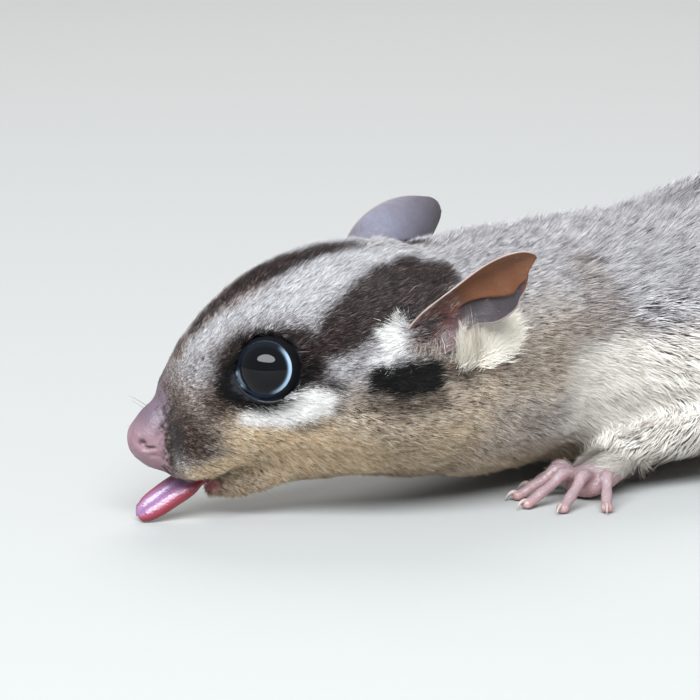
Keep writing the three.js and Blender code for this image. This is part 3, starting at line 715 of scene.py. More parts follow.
def markingsAt(places):
    head = headGrid(places)
    back, left, up = head.T
    x, y, z = bodyGrid(places).T
    grid = folded(head) + 0.4 * np.stack([waver(places / mm, s) for s in (2.9, 3.7, 3.3)], 1)
    near = smoothStep(48, 40, back)
    trunk = smoothStep(-4, 4, y)
    uneven = 0.6 * waver(places / mm, 9)
    out = {}

    def add(name, mask):
        out[name] = np.maximum(out[name], mask)

    for name, chains in markings.items():
        mask = np.zeros(len(places))
        for chain in chains:
            mask = np.maximum(mask, chainMask(grid, chain, softness.get(name, 0.55)))
        out[name] = mask * near
    for side in sidePairs:                       # a black ring round each eye, narrower at the top and rear
        far, turn = roundEye(places, side)
        narrower = 0.7 * np.abs(np.sin(np.radians(turn + 155) / 2))
        add("black", smoothStep(1.7, 0.5, far - bareRim(turn) + narrower + 0.5 * waver(places / mm, 1.7)))

    stripe = smoothStep(3.0, 1.5, np.abs(x - 0.6) + uneven * 0.5) * smoothStep(12, 20, z)
    stripe = stripe * smoothStep(118, 96, y)
    add("dark", trunk * stripe * (0.12 + 0.78 * smoothStep(34, 72, y)))
    under = smoothStep(9 + 2 * uneven, 3 + 2 * uneven, z) * smoothStep(130, 118, y)
    out["belly"] = np.maximum(under * trunk, 0.7 * smoothStep(-3.5, -6.5, up + uneven) * (1 - trunk))
    lip = smoothStep(-0.5, -2.8, up)
    cheeks = smoothStep(8.5, 2, up + uneven) * smoothStep(7 - 4 * lip, 12 - 4 * lip, back)
    out["buff"] = cheeks * smoothStep(54, 36, back) * (1 - trunk * 0.6)

    # painted shade: taupe and brown laid over the neck and shoulder where shade falls
    shade = chainMask(np.stack([np.abs(x), y, z], 1), paintedShadeChain, 2.5)
    add("taupe", 0.6 * shade)
    add("brown", 0.36 * shade)
    add("brown", smoothStep(5.0, 3.9, back) * smoothStep(6.0, 4.2, up))             # behind the nose pad
    add("brown", 0.55 * smoothStep(-2.6, -5.5, up + uneven) * (1 - trunk))          # painted shade, warm brown, along the underside of the jaw
    out["cream"] = out["cream"] * (1 - smoothStep(0, -3, left) * smoothStep(41.5, 39.5, back))

    golden = smoothStep(7, 2, up + uneven) * smoothStep(27, 33, back) * smoothStep(62, 50, back)
    sides = smoothStep(20, 8, up + uneven) * smoothStep(26, 34, back) * smoothStep(62, 50, back)
    flank = smoothStep(24, 15, z + 2 * uneven) * smoothStep(11, 15, np.abs(x)) * trunk
    out["ticked"] = np.maximum(out["ticked"], np.maximum(sides * 0.85, flank * 0.6)) * (1 - 0.5 * golden)
    limbs = smoothStep(16, 11, z + uneven) * smoothStep(13, 17, np.abs(x)) * smoothStep(120, 110, y)
    shoulder = smoothStep(21, 17.5, z + uneven) * smoothStep(9, 12, np.abs(x))
    shoulder = shoulder * smoothStep(10, 15, y + uneven) * smoothStep(52, 40, y)
    out["arm"] = np.maximum(limbs, shoulder) * trunk
    add("black", smoothStep(225, 262, y + 6 * waver(places / mm, 11)))              # the tail's tip
    return out


markSets = {                                 # what each colour attribute carries, filled up to four values
    "marksA": ("dark", "brown", "pale", "white"), "marksB": ("cream", "belly", "buff", "arm"),
    "marksC": ("black", "taupe", "ticked", "ticked"), "strand": ("along", "chance", "along", "chance"),
}


def paintAttributes(obj, places, along, chance, only=None):
    marks = markingsAt(places)
    if only is not None:                     # one kind named for each place
        marks = {k: (only == k) * 1.0 for k in marks}
    marks["along"], marks["chance"] = along, chance
    for name, keys in markSets.items():
        setColours(obj, name, [marks[k] for k in keys])


# For each kind of coat, its hairs from the rarest dark ones to the rarest pale ones
coatColours = {
    "grey": [(0.0, (0.035, 0.028, 0.03)), (0.1, (0.085, 0.072, 0.076)), (0.24, (0.28, 0.26, 0.27)),
             (0.6, (0.45, 0.425, 0.435)), (1.0, (0.74, 0.71, 0.71))],
    "taupe": [(0.0, (0.025, 0.017, 0.015)), (0.2, (0.09, 0.062, 0.052)), (0.4, (0.27, 0.2, 0.175)),
              (0.75, (0.46, 0.37, 0.33)), (1.0, (0.78, 0.69, 0.64))],
    "buff": [(0.0, (0.08, 0.048, 0.03)), (0.09, (0.22, 0.14, 0.085)), (0.2, (0.6, 0.41, 0.24)),
             (0.6, (0.9, 0.68, 0.43)), (1.0, (0.98, 0.89, 0.72))],
    "ticked": [(0.0, (0.018, 0.012, 0.01)), (0.22, (0.07, 0.045, 0.033)), (0.32, (0.42, 0.31, 0.22)),
               (0.7, (0.78, 0.62, 0.46)), (1.0, (0.95, 0.87, 0.75))],
    "belly": [(0.0, (0.36, 0.24, 0.14)), (0.4, (0.62, 0.46, 0.3)), (1.0, (0.88, 0.77, 0.6))],
    "arm": [(0.0, (0.36, 0.3, 0.25)), (0.2, (0.74, 0.675, 0.61)), (1.0, (0.92, 0.88, 0.82))],
    "pale": [(0.0, (0.07, 0.06, 0.063)), (0.07, (0.18, 0.165, 0.17)), (0.15, (0.37, 0.35, 0.36)),
             (0.6, (0.54, 0.52, 0.53)), (1.0, (0.84, 0.82, 0.83))],
    "brown": [(0.0, (0.01, 0.006, 0.005)), (0.55, (0.045, 0.026, 0.02)), (0.86, (0.13, 0.08, 0.06)),
              (1.0, (0.4, 0.3, 0.24))],
    "dark": [(0.0, (0.005, 0.003, 0.003)), (0.6, (0.028, 0.017, 0.016)), (0.88, (0.075, 0.048, 0.045)),
             (1.0, (0.2, 0.15, 0.14))],
    "white": [(0.0, (0.6, 0.56, 0.52)), (0.2, (0.93, 0.89, 0.86)), (1.0, (0.98, 0.97, 0.95))],
    "cream": [(0.0, (0.96, 0.86, 0.72)), (0.3, (0.99, 0.92, 0.8)), (1.0, (1.0, 0.95, 0.87))],
    "black": [(0.0, (0.002, 0.002, 0.002)), (0.85, (0.005, 0.004, 0.004)), (1.0, (0.025, 0.02, 0.022))],
}


def coatGroup():                             # the colour of the coat at any place, from its markings, with painted shade towards the roots of the hairs
    group = bpy.data.node_groups.new("coatColour", 'ShaderNodeTree')
    group.interface.new_socket(name="Along", in_out='INPUT', socket_type='NodeSocketFloat')
    group.interface.new_socket(name="Chance", in_out='INPUT', socket_type='NodeSocketFloat')
    group.interface.new_socket(name="Color", in_out='OUTPUT', socket_type='NodeSocketColor')
    inside = node(group, "NodeGroupInput").outputs
    out = node(group, "NodeGroupOutput")
    masks = {}
    for name in ("marksA", "marksB", "marksC"):
        masks.update(zip(markSets[name], channels(group, name)))
    colour = ramp(group, inside["Chance"], coatColours["grey"])
    for name in ("taupe", "buff", "ticked", "belly", "arm", "pale", "brown", "dark", "white", "cream",
                 "black"):                       # a later one covers an earlier one
        colour = mixColour(group, masks[name], colour, ramp(group, inside["Chance"], coatColours[name]))
    # painted shade: each hair darker towards its root, deep in the coat, from 0.22 at the root to 0.88
    # halfway up and beyond
    shade = mapRange(group, inside["Along"], 0.0, 0.5, 0.22, 0.88)
    grey = node(group, "ShaderNodeCombineColor", {"Red": shade, "Green": shade, "Blue": shade})
    group.links.new(mixColour(group, 1.0, colour, grey.outputs[0], 'MULTIPLY'), out.inputs["Color"])
    return group


coatTree = coatGroup()


def furMaterial():
    mat, tree, shader = newMaterial("furStrands", Roughness=0.62, Specular_IOR_Level=0.22)
    along, chance, _, _ = channels(tree, "strand")
    group = node(tree, "ShaderNodeGroup", {"Along": along, "Chance": chance}, node_tree=coatTree)
    tree.links.new(group.outputs["Color"], shader.inputs["Base Color"])
    return mat


def skinMaterial():                          # underfur in fine streaks, darkened as painted shade under the coat, and bare skin at nose, lids and lips
    mat, tree, shader = newMaterial("skinUnderCoat", Specular_IOR_Level=0.4, Subsurface_Weight=0.06,
                                    Subsurface_Scale=0.0006)
    place = objectPlace(tree)
    drawn = node(tree, "ShaderNodeMapping", {"Vector": place, "Scale": (1.0, 0.2, 1.0)}).outputs["Vector"]
    streaks = noise(tree, drawn, 5200.0, 4.0)
    spread = mapRange(tree, streaks, 0.3, 0.72)
    # painted shade: the underfur takes the coat's colour low on the hair (Along 0.12), darkened under the
    # coat
    group = node(tree, "ShaderNodeGroup", {"Along": 0.12, "Chance": spread}, node_tree=coatTree)
    lids, pad, lip, hole = channels(tree, "bareMarks")
    pebbles = cells(tree, place, 2900.0)
    blotch = noise(tree, place, 900.0, 5.0)
    padColour = mixColour(tree, attribute(tree, "padHeight"), (0.3, 0.185, 0.21), (0.12, 0.095, 0.125))
    padColour = blotched(tree, blotch, 0.7, padColour, (0.17, 0.095, 0.115))
    # painted shade: the nostrils nearly black inside the pressed slits
    padColour = mixColour(tree, hole, padColour, (0.02, 0.006, 0.007))
    colour = mixColour(tree, lids, group.outputs["Color"], (0.008, 0.008, 0.012))
    colour = mixColour(tree, lip, colour, (0.42, 0.15, 0.16))
    colour = mixColour(tree, attribute(tree, "earBowl"), colour, (0.075, 0.018, 0.026))
    colour = mixColour(tree, pad, colour, padColour)
    tree.links.new(colour, shader.inputs["Base Color"])
    naked = sums(tree, 'MAXIMUM', sums(tree, 'MAXIMUM', lids, pad), lip)
    tree.links.new(mapRange(tree, naked, 0.0, 1.0, 0.75, 0.42), shader.inputs["Roughness"])
    height = node(tree, "ShaderNodeMix", data_type='FLOAT')
    for socket, value in ((0, naked), (2, streaks), (3, sums(tree, 'MULTIPLY', pebbles, 0.8))):
        tree.links.new(value, height.inputs[socket])
    bumpFrom(tree, shader, height.outputs[0], 0.5, 0.0001)
    return mat


furPaint = furMaterial()
skinPaint = skinMaterial()
bare["lip"] = chainMask(folded(skinHead), lips, 0.25)
padEdge = skinHead[:, 0] + 0.55 * waver(skinPlaces / mm, 1.7) + 0.5 * waver(skinPlaces / mm, 0.7)
padEdge = padEdge - 0.5 * smoothStep(0.6, -2.4, skinHead[:, 2])   # it reaches further back above the lip
padEdge = padEdge - 0.5 * smoothStep(3.2, 5.0, skinHead[:, 2])    # and less far at the top
above = smoothStep(-4.2, -3.0, skinHead[:, 2])
bare["nose"] = smoothStep(3.7, 2.5, padEdge) * above
nakedness = np.maximum(np.maximum(bare["eye"], smoothStep(2.9, 1.9, padEdge) * above), bare["lip"] * 0.9)

# The bowl at the foot of each ear: nearly bare, with short hair round it
bowlChain = [(31.0, 11.6, 13.9, 1.3), (33.2, 11.4, 13.6, 1.8), (35.2, 11.2, 13.4, 1.4)]
roundBowl = [(back - 0.8, out, up, reach + 1.0) for back, out, up, reach in bowlChain]
bowl = chainMask(folded(skinHead), bowlChain, 0.4)
coat["length"] = coat["length"] * (1 - 0.55 * chainMask(folded(skinHead), roundBowl, 0.8))
nakedness = np.maximum(nakedness, 0.85 * bowl)


# The coat: thin tapered tufts, rooted on the skin, which rise a little and bend over along its lie

def groundOf(obj, places, normals, lie, coat):   # what scatter needs to know of a surface
    obj.data.calc_loop_triangles()
    tris = valuesOf(obj.data.loop_triangles, "vertices", 3, int)
    a, b, c = (places[tris[:, k]] for k in range(3))
    area = np.linalg.norm(np.cross(b - a, c - a), axis=1) / 2
    return {"places": places, "normals": normals, "lie": lie, "tris": tris, "area": area, **coat}


def meshFrom(name, places, loops, starts):
    me = bpy.data.meshes.new(name)
    me.vertices.add(len(places))
    me.vertices.foreach_set("co", places.astype(np.float32).ravel())
    me.loops.add(len(loops))
    me.loops.foreach_set("vertex_index", loops.astype(np.int32))
    me.polygons.add(len(starts))
    me.polygons.foreach_set("loop_start", starts.astype(np.int32))
    me.update(calc_edges=True)
    me.polygons.foreach_set("use_smooth", np.ones(len(starts), bool))
    obj = bpy.data.objects.new(name, me)
    bpy.context.collection.objects.link(obj)
    return obj


def scatter(ground, where, count, chance):   # even but irregular roots, with what the skin says at each
    tris = ground["tris"]
    weight = ground["area"] * where[tris].mean(1)
    share = np.cumsum(weight) / weight.sum()
    picks = np.searchsorted(share, (np.arange(count) + chance.random(count)) / count)
    picks = np.minimum(picks, len(tris) - 1)
    u, v = chance.random(count), chance.random(count)
    flip = u + v > 1
    u[flip], v[flip] = 1 - u[flip], 1 - v[flip]
    w = np.stack([1 - u - v, u, v], 1)
    corners = tris[picks]
    return {key: (ground[key][corners] * (w[:, :, None] if ground[key].ndim > 1 else w)).sum(1)
            for key in ("places", "normals", "lie", "length", "rise", "width")}


hair = {
    "steepest": 0.88,                        # sine of the greatest angle at the root
    "tipLift": 0.4,                          # of the root's, at the tip
    "pull": (0.2, 0.45),                     # towards the first tuft of its clump, and more by chance
    "halfPull": 0.35,                        # of that, halfway up
    "sink": 0.12,                            # mm of the root under the skin
    "lowest": 0.05,                          # mm above the floor
    "spread": 0.3,                           # mm by which the edges of the markings scatter
    "sameTone": 0.4,                         # share that takes the tone of its clump
    "stray": (0.26, 0.2, 0.26),              # sideways, in broad waves, in narrow ones and by chance
    "proud": (0.07, 1.55),                   # share that stands up further, and how much
    "patch": 0.0015,                         # half the side of the patch that each tuft has in the unwrap
}


def tufts(name, root, up, way, length, rise, width, clump, chance, unwrap, bent=True, only=None, pale=0):
    count = len(root)
    lift0 = np.clip(rise / (0.7 * length), 0, hair["steepest"])[:, None]
    lift1 = lift0 * hair["tipLift"]
    start = way * np.sqrt(1 - lift0 ** 2) + up * lift0
    finish = way * np.sqrt(1 - lift1 ** 2) + up * lift1
    half = root + start * (length * 0.5)[:, None]
    tip = half + finish * (length * 0.5)[:, None]
    tree = KDTree(max(1, count // clump))    # tufts lean towards the first one of their clump
    for i in range(max(1, count // clump)):
        tree.insert(root[i * clump], i)
    tree.balance()
    home = np.array([tree.find(p)[1] for p in root]) * clump
    least, more = hair["pull"]
    pull = (least + more * chance.random(count))[:, None]
    half = half + (half[home] - half) * pull * hair["halfPull"]
    tip = tip + (tip[home] - tip) * pull
    across = unit(np.cross(finish, up)) * (width * (0.75 + 0.5 * chance.random(count)) / 2)[:, None]
    sink = root - up * hair["sink"] * mm
    rows = [sink - across, sink + across]
    corner = [(-1, -1), (1, -1)]
    # how far along the hair, which the coat colour turns into painted shade towards the root; pale sets the
    # root's value, and a higher one gives less shade
    heights = [pale, pale]
    if bent:                                 # a quad and a triangle, else one triangle
        rows += [half - across * 0.85, half + across * 0.85]
        corner += [(-0.8, 0), (0.8, 0)]
        heights += [0.55, 0.55]
    rows.append(tip)
    corner.append((0, 1))
    heights.append(1.0)
    pattern = [0, 1, 3, 2, 2, 3, 4] if bent else [0, 1, 2]
    firsts = [0, 4] if bent else [0]
    size = len(rows)
    places = np.stack(rows, 1)
    places[:, :, 2] = np.maximum(places[:, :, 2], hair["lowest"] * mm)
    loops = (np.arange(count)[:, None] * size + np.array(pattern)).ravel()
    starts = (np.arange(count)[:, None] * len(pattern) + np.array(firsts)).ravel()
    obj = meshFrom(name, places.reshape(-1, 3), loops, starts)
    seen = root + (tip - root) * 0.6 + chance.normal(0, hair["spread"] * mm, (count, 3))
    tone = chance.random(count)
    tone = np.where(chance.random(count) < hair["sameTone"], tone[home], tone)
    paintAttributes(obj, np.repeat(seen, size, 0), np.tile(heights, count), np.repeat(tone, size),
                    None if only is None else np.repeat(only, size))
    spots = (unwrap(root)[:, None, :] + np.array(corner) * hair["patch"]).reshape(-1, 2)
    layer = obj.data.uv_layers.new(name="OFBake")
    layer.data.foreach_set("uv", spots[loops].astype(np.float32).ravel())
    obj.data.materials.append(furPaint)
    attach(obj, "root")
    report("%s, %d tufts" % (name, count))


def growCoat(name, ground, count, where, clump, seed, unwrap, bent=True, only=None):
    chance = np.random.default_rng(seed)
    at = scatter(ground, where, count, chance)
    root, up, way = at["places"], unit(at["normals"]), at["lie"]
    grid = root / mm
    sideways = unit(np.cross(up, way))
    broad, narrow, free = hair["stray"]
    stray = broad * waver(grid, 5.1) + narrow * waver(grid, 1.9) + chance.normal(0, free, count)
    way = laidFlat(unit(unit(way) + sideways * stray[:, None]), up)
    length = at["length"] * mm * (0.7 + 0.55 * chance.random(count))
    rise = at["rise"] * mm * (0.7 + 0.4 * chance.random(count) + 0.15 * waver(grid, 3.3))
    share, further = hair["proud"]
    rise = rise * np.where(chance.random(count) < share, further, 1)
    tufts(name, root, up, way, length, rise, at["width"] * mm, clump, chance, unwrap, bent,
          None if only is None else np.full(count, only))


def unwrapped(side, up, far):                # a place in the unwrap: round a middle line, and along it
    angle = np.arctan2(side, up) / (2 * np.pi) + 0.5
    return np.stack([0.01 + 0.98 * angle, 0.01 + 0.98 * np.clip(far, 0, 1)], 1)


def roundHead(root):
    back, left, up = headGrid(root).T
    return unwrapped(left, up - 8, back / 60)


def roundBody(root):
    x, y, z = bodyGrid(root).T
    return unwrapped(x, z - 17, (y + 10) / 150)


def roundTail(root):
    g = bodyGrid(root)
    step = tailStep(g)
    off = g - tailLine[step]
    side = unit(np.cross(tailAlong[step], [[0, 0, 1]]))
    far = step / tail["steps"] + (off * tailAlong[step]).sum(1) / 180
    return unwrapped((off * side).sum(1), off[:, 2], far)


def areaOf(*kinds):                          # 1 on these parts of the body, 0 elsewhere
    return np.isin(skinRegion, [k for k, n in enumerate(regionNames) if kindOf(n) in kinds]) * 1.0


skinGround = groundOf(skin, skinPlaces, skinNormals, lie, coat)
headArea = areaOf("head", "nose", "lower_jaw") * (1 - nakedness)
frontal = smoothStep(23, 19, skinHead[:, 0])
bodyArea = areaOf("torso", "patagium")
limbArea = areaOf("upper_arm", "forearm", "thigh", "shin")
fore = smoothStep(52, 44, skinBody[:, 1])

growCoat("coatFace", skinGround, 190000, headArea * frontal, 14, 11, roundHead, bent=False)
growCoat("coatCrown", skinGround, 180000, headArea * (1 - frontal), 14, 12, roundHead, bent=False)
growCoat("coatNeck", skinGround, 190000, areaOf("neck"), 14, 13, roundHead, bent=False)
growCoat("coatShoulders", skinGround, 190000, bodyArea * fore, 18, 17, roundBody, bent=False)
growCoat("coatBack", skinGround, 62000, bodyArea * (1 - fore), 16, 14, roundBody)
growCoat("coatLimbs", skinGround, 62000, limbArea, 14, 15, roundBody)
growCoat("coatTail", skinGround, 58000, areaOf("tailCore"), 16, 16, roundTail)

paintAttributes(skin, skinPlaces, np.full(len(skinPlaces), 0.2), np.full(len(skinPlaces), 0.5))
# the nostrils, which the skin material paints nearly black as painted shade inside them
nostrils = np.zeros(len(skinPlaces))
for spot in dents["nostril"]:
    nostrils = np.maximum(nostrils, smoothStep(0.25, 0.65, pressed(skinHead, spot)))
setColours(skin, "bareMarks", [bare["eye"], bare["nose"], bare["lip"], nostrils])
setAttribute(skin, "earBowl", bowl)
setAttribute(skin, "padHeight", smoothStep(0.0, 3.6, skinHead[:, 2]))
finishPiece(skin, skinPaint, "coat_grey", *trunkNodes, *limbNodes, *tailNodes)
skinSurface = BVHTree.FromPolygons([Vector(p) for p in skinPlaces], skinGround["tris"].tolist())


# Longer sprays of hair at the ears: colour, hairs, where they root, how wide, which way they point, length,
# and how far above the skin they start, all in mm on the head grid. The cream ones would grow through the
# right ear, which is turned forward, so only the left has them.
sprays = [
    ("white", 420, (28.5, 11.2, 14.8), 1.0, (-1.0, 0.4, 0.45), 2.6, 0),
    ("white", 360, (28.6, 11.6, 14.0), 0.9, (-1.0, 0.4, -0.05), 3.4, 0),
    ("white", 200, (28.2, 12.0, 13.3), 0.7, (-0.9, 0.3, -0.6), 3.2, 0),
    ("white", 130, (29.6, 12.2, 13.0), 0.7, (-0.1, 0.4, -1.0), 2.0, 0),
    ("white", 240, (28.9, 10.9, 15.6), 0.7, (-0.4, 0.4, 1.0), 2.0, 0),
    ("taupe", 70, (30.0, 12.6, 12.2), 0.9, (0.0, 0.5, 1.0), 2.2, 0),
    ("taupe", 70, (32.2, 12.6, 12.0), 1.1, (0.2, 0.5, 1.0), 2.4, 0),
    ("pale", 90, (34.4, 12.2, 12.2), 1.0, (0.3, 0.5, 1.0), 2.8, 0),
    ("cream", 1500, (36.4, 11.4, 11.8), 1.5, (0.4, 0.5, 0.9), 3.6, 1.4),
    ("cream", 2000, (38.6, 10.8, 12.4), 1.8, (0.6, 0.5, 0.8), 3.6, 2.2),
    ("cream", 1500, (41.2, 9.8, 13.0), 1.6, (0.8, 0.4, 0.6), 3.2, 2.2),
    ("dark", 520, (30.4, 9.8, 16.4), 1.5, (0.9, 0.5, 0.7), 3.0, 0.4),
    ("dark", 620, (33.0, 9.4, 17.0), 1.5, (0.9, 0.5, 0.7), 3.2, 0.8),
    ("brown", 480, (35.6, 8.8, 17.6), 1.3, (0.9, 0.5, 0.6), 3.0, 0.8),
]


def growSprays(side, seed):
    sign = sidePairs[side]
    chance = np.random.default_rng(seed)
    rows = {key: [] for key in ("root", "normal", "flat", "length", "rise", "mark")}
    for mark, count, (back, out, up), wide, (b, o, u), long, raised in sprays:
        if mark == "cream" and side == "right":
            continue
        local = np.array([back, out * sign, up]) + chance.normal(0, wide / 2, (count, 3))
        hits = [skinSurface.find_nearest(onHead(*p)) for p in local]
        normal = np.array([h[1] for h in hits])
        root = np.array([h[0] for h in hits]) + normal * raised * mm
        way = np.array([o * sign, b, u]) @ headAxes.T
        way = unit(way + chance.normal(0, 0.22, (count, 3)) + (root - root.mean(0)) / mm * 0.16)
        length = long * mm * (0.6 + 0.5 * chance.random(count))
        rise = np.clip((way * normal).sum(1), 0.12, 0.55) * length * 0.7
        found = (root, normal, laidFlat(way, normal), length, rise, np.full(count, mark))
        for key, values in zip(rows, found):
            rows[key].append(values)
    root, normal, flat, length, rise, mark = (np.concatenate(rows[key]) for key in rows)
    tufts("earSprays_" + side, root, normal, flat, length, rise, np.full(len(root), 0.075 * mm), 9, chance,
          roundHead, only=mark, pale=0.5)    # their roots take none of the painted root shade, so they are as light as their tips


for seed, side in enumerate(sidePairs):
    growSprays(side, 30 + seed)


# Closed tubes of changing width, for the digits, claws, tongue and whiskers

def tubeAlong(name, stations, steps, sides, place):   # stations: three places, half width, half height
    line = smoothLine(stations, steps)
    middle, wide, high = line[:, :3], line[:, 3], line[:, 4]
    along = unit(np.gradient(middle, axis=0))
    bends = (0.15, 0.5, 0.9, 1.25)
    rings = [(middle[0] - along[0] * high[0] * math.cos(t), along[0], wide[0] * math.sin(t),
              high[0] * math.sin(t), 0.0) for t in bends]
    rings += list(zip(middle, along, wide, high, np.linspace(0, 1, len(middle))))
    rings += [(middle[-1] + along[-1] * high[-1] * math.cos(t), along[-1], wide[-1] * math.sin(t),
               high[-1] * math.sin(t), 1.0) for t in reversed(bends)]
    places, upness, share = [], [], []
    for at, way, w, h, s in rings:
        level = unit(np.cross(way, np.array([0, 0, 1.0])))
        top = np.cross(level, way)
        for j in range(sides):
            a = 2 * math.pi * j / sides
            places.append(place(*(at + level * w * math.cos(a) + top * h * math.sin(a))))
            upness.append(0.5 + 0.5 * math.sin(a))
            share.append(s)
    last = len(rings) - 1
    faces = []
    for i in range(last):
        here, ahead = i * sides, (i + 1) * sides
        faces += [(here + j, here + (j + 1) % sides, ahead + (j + 1) % sides, ahead + j)
                  for j in range(sides)]
    faces += [tuple(reversed(range(sides))), tuple(range(last * sides, (last + 1) * sides))]
    obj = meshObject(name, places, faces)
    setAttribute(obj, "upness", upness)
    setAttribute(obj, "share", share)
    outwards(obj)
    return obj


# Eyes: a wet ball with a slightly fuller front, dark iris and a slate rim that is palest towards the rear: a
# pale crescent there, partly the white of the eye and partly painted reflection, and a pale front corner,
# partly its own colour and partly painted glints

def eyeMaterial():
    mat, tree, shader = newMaterial("wetEye", Roughness=0.02, Specular_IOR_Level=0.24)
    out = attribute(tree, "fromAxis")        # degrees from the axis, over 90
    rear = attribute(tree, "rearward")
    corner = attribute(tree, "inCorner")
    place = objectPlace(tree)
    fibres = noise(tree, place, 2600.0, 3.0)
    dark = ramp(tree, out, [(0.0, (0.002, 0.002, 0.003)), (0.4, (0.003, 0.003, 0.004)),
                            (0.47, (0.006, 0.007, 0.011)), (0.53, (0.006, 0.01, 0.018)),
                            (0.62, (0.01, 0.016, 0.028))])
    pale = ramp(tree, out, [(0.0, (0.002, 0.002, 0.003)), (0.42, (0.003, 0.003, 0.004)),
                            (0.445, (0.015, 0.022, 0.034)), (0.465, (0.08, 0.12, 0.18)),
                            (0.5, (0.36, 0.5, 0.64)), (0.56, (0.46, 0.6, 0.74)), (0.62, (0.2, 0.28, 0.36))])
    # the pale rear crescent: partly the white of the eye, partly painted reflection
    colour = mixColour(tree, rear, dark, pale)
    # the pale front corner: partly its own colour, partly painted glints
    colour = mixColour(tree, corner, colour, (0.36, 0.42, 0.5))
    colour = blotched(tree, fibres, 0.3, colour, (0.004, 0.004, 0.006))
    tree.links.new(colour, shader.inputs["Base Color"])
    return mat


def makeEye(side):
    centre, out, _, _ = eyeFrame(side)
    bpy.ops.object.select_all(action='DESELECT')
    bpy.ops.mesh.primitive_uv_sphere_add(segments=80, ring_count=60, radius=eye["radius"] * mm,
                                         location=centre, rotation=out.to_track_quat('Z', 'Y').to_euler())
    ball = bpy.context.object
    ball.name = "eyeball_" + side
    bpy.ops.object.transform_apply(location=True, rotation=True, scale=True)
    places = verticesOf(ball) - np.array(centre)
    turn = np.degrees(np.arccos(np.clip(unit(places) @ np.array(out), -1, 1)))
    swell = 1 + eye["bulge"] / eye["radius"] * smoothStep(46, 12, turn)
    moveVertices(ball, places * swell[:, None] + np.array(centre))
    far, about = roundEye(verticesOf(ball), side)
    # masks for the pale rear crescent and the pale front corner, which carry painted reflection and glints
    behind = np.cos(np.radians(about - 345)) * 0.5 + 0.5
    setAttribute(ball, "fromAxis", turn / 90)
    setAttribute(ball, "rearward", smoothStep(0.66, 0.95, behind) * (turn < 90))
    front = np.abs(turnFrom(eye["cornerTurn"], about))
    setAttribute(ball, "inCorner", 0.5 * smoothStep(2.9, 3.2, far) * smoothStep(24, 12, front) * (turn < 90))
    finishPiece(ball, eyePaint, "eye", "eye_" + side)


# Lids: a bare, dark rim that lies on the ball, with a moist margin and a drawn-out front corner, painted
# glints at that corner and a painted bluish reflection low at the front

lid = {
    "profile": [(-0.06, -0.02), (0.0, 0.03), (0.06, 0.05), (0.14, 0.04), (0.22, 0.0), (0.3, -0.06)],
    "outer": [(0.5, -0.03), (0.75, -0.1), (1.1, -0.25), (1.5, -0.55)],   # further out it lies on the skin
    "turns": 80,
}


def lidOpening(turn):                        # half width of the opening, by degrees round the axis
    return eye["opening"] + eye["corner"] * hump(eye["cornerTurn"], 17, turn)


def makeLids(side):
    centre, out, rear, top = eyeFrame(side)
    profile = lid["profile"] + lid["outer"]
    places = []
    for step in range(lid["turns"]):
        turn = 360 * step / lid["turns"]
        sideways = rear * math.cos(math.radians(turn)) + top * math.sin(math.radians(turn))
        held = 0
        for k, (reach, rise) in enumerate(profile):
            wider = 1.4 * hump(203, 26, turn) * (reach < 1)   # at the front corner
            r = lidOpening(turn) + reach * (1 + wider)
            spot = centre + sideways * r * mm
            if k < len(lid["profile"]):
                height = math.sqrt(max(0.6, (eye["radius"] + 0.06) ** 2 - r * r)) + rise
                held = height
            else:
                hit = skinSurface.ray_cast(spot + out * 8 * mm, -out, 14 * mm)[0]
                ground = (hit - spot).dot(out) / mm if hit else 0
                share = (k - len(lid["profile"]) + 1) / len(lid["outer"])
                height = held * (1 - share) ** 2 + ground * (1 - (1 - share) ** 2) + rise
            overBall = math.sqrt(max(0, (eye["radius"] + 0.04) ** 2 - r * r))
            height = max(height, overBall)
            places.append(tuple(spot + out * height * mm))
    across = len(profile)
    faces = []
    for i in range(lid["turns"]):
        j = (i + 1) % lid["turns"]
        faces += [(i * across + k, i * across + k + 1, j * across + k + 1, j * across + k)
                  for k in range(across - 1)]
    obj = meshObject("lids_" + side, places, faces)
    if obj.data.polygons[0].normal.dot(out) < 0:
        obj.data.flip_normals()
    setAttribute(obj, "fromMargin", np.tile(np.arange(across) / (across - 1), lid["turns"]))
    turns = np.repeat(np.arange(lid["turns"]) * 360 / lid["turns"], across)
    # painted reflection: a bluish tint low at the front of the lids
    setAttribute(obj, "lowFront", hump(235, 40, turns))
    reach = np.tile([r for r, _ in profile], lid["turns"])
    # painted glints at the front corner
    glints = smoothStep(26, 10, np.abs(turnFrom(eye["cornerTurn"], turns))) * smoothStep(0.8, 0.3, reach)
    setAttribute(obj, "paintedCornerGlint", glints * (0.55 + 0.45 * np.sin(turns * 0.9)))
    applied(obj, 'SUBSURF', levels=1, render_levels=1)
    finishPiece(obj, lidPaint, "bare_skin")


def lidMaterial():
    mat, tree, shader = newMaterial("lidSkin", Specular_IOR_Level=0.14)
    far = attribute(tree, "fromMargin")
    colour = ramp(tree, far, [(0.0, (0.01, 0.011, 0.015)), (0.16, (0.004, 0.004, 0.006)),
                              (1.0, (0.004, 0.004, 0.005))])
    # painted reflection: bluish low at the front
    colour = mixColour(tree, attribute(tree, "lowFront"), colour, (0.012, 0.02, 0.04))
    # painted glints at the front corner
    colour = mixColour(tree, attribute(tree, "paintedCornerGlint"), colour, (0.42, 0.54, 0.7))
    tree.links.new(colour, shader.inputs["Base Color"])
    tree.links.new(mapRange(tree, far, 0.0, 0.25, 0.2, 0.7), shader.inputs["Roughness"])
    bumpFrom(tree, shader, noise(tree, objectPlace(tree), 3500.0, 4.0), 0.35, 0.0001)
    return mat


eyePaint = eyeMaterial()
lidPaint = lidMaterial()
for side in sidePairs:
    makeEye(side)
    makeLids(side)
report("eyes and lids")


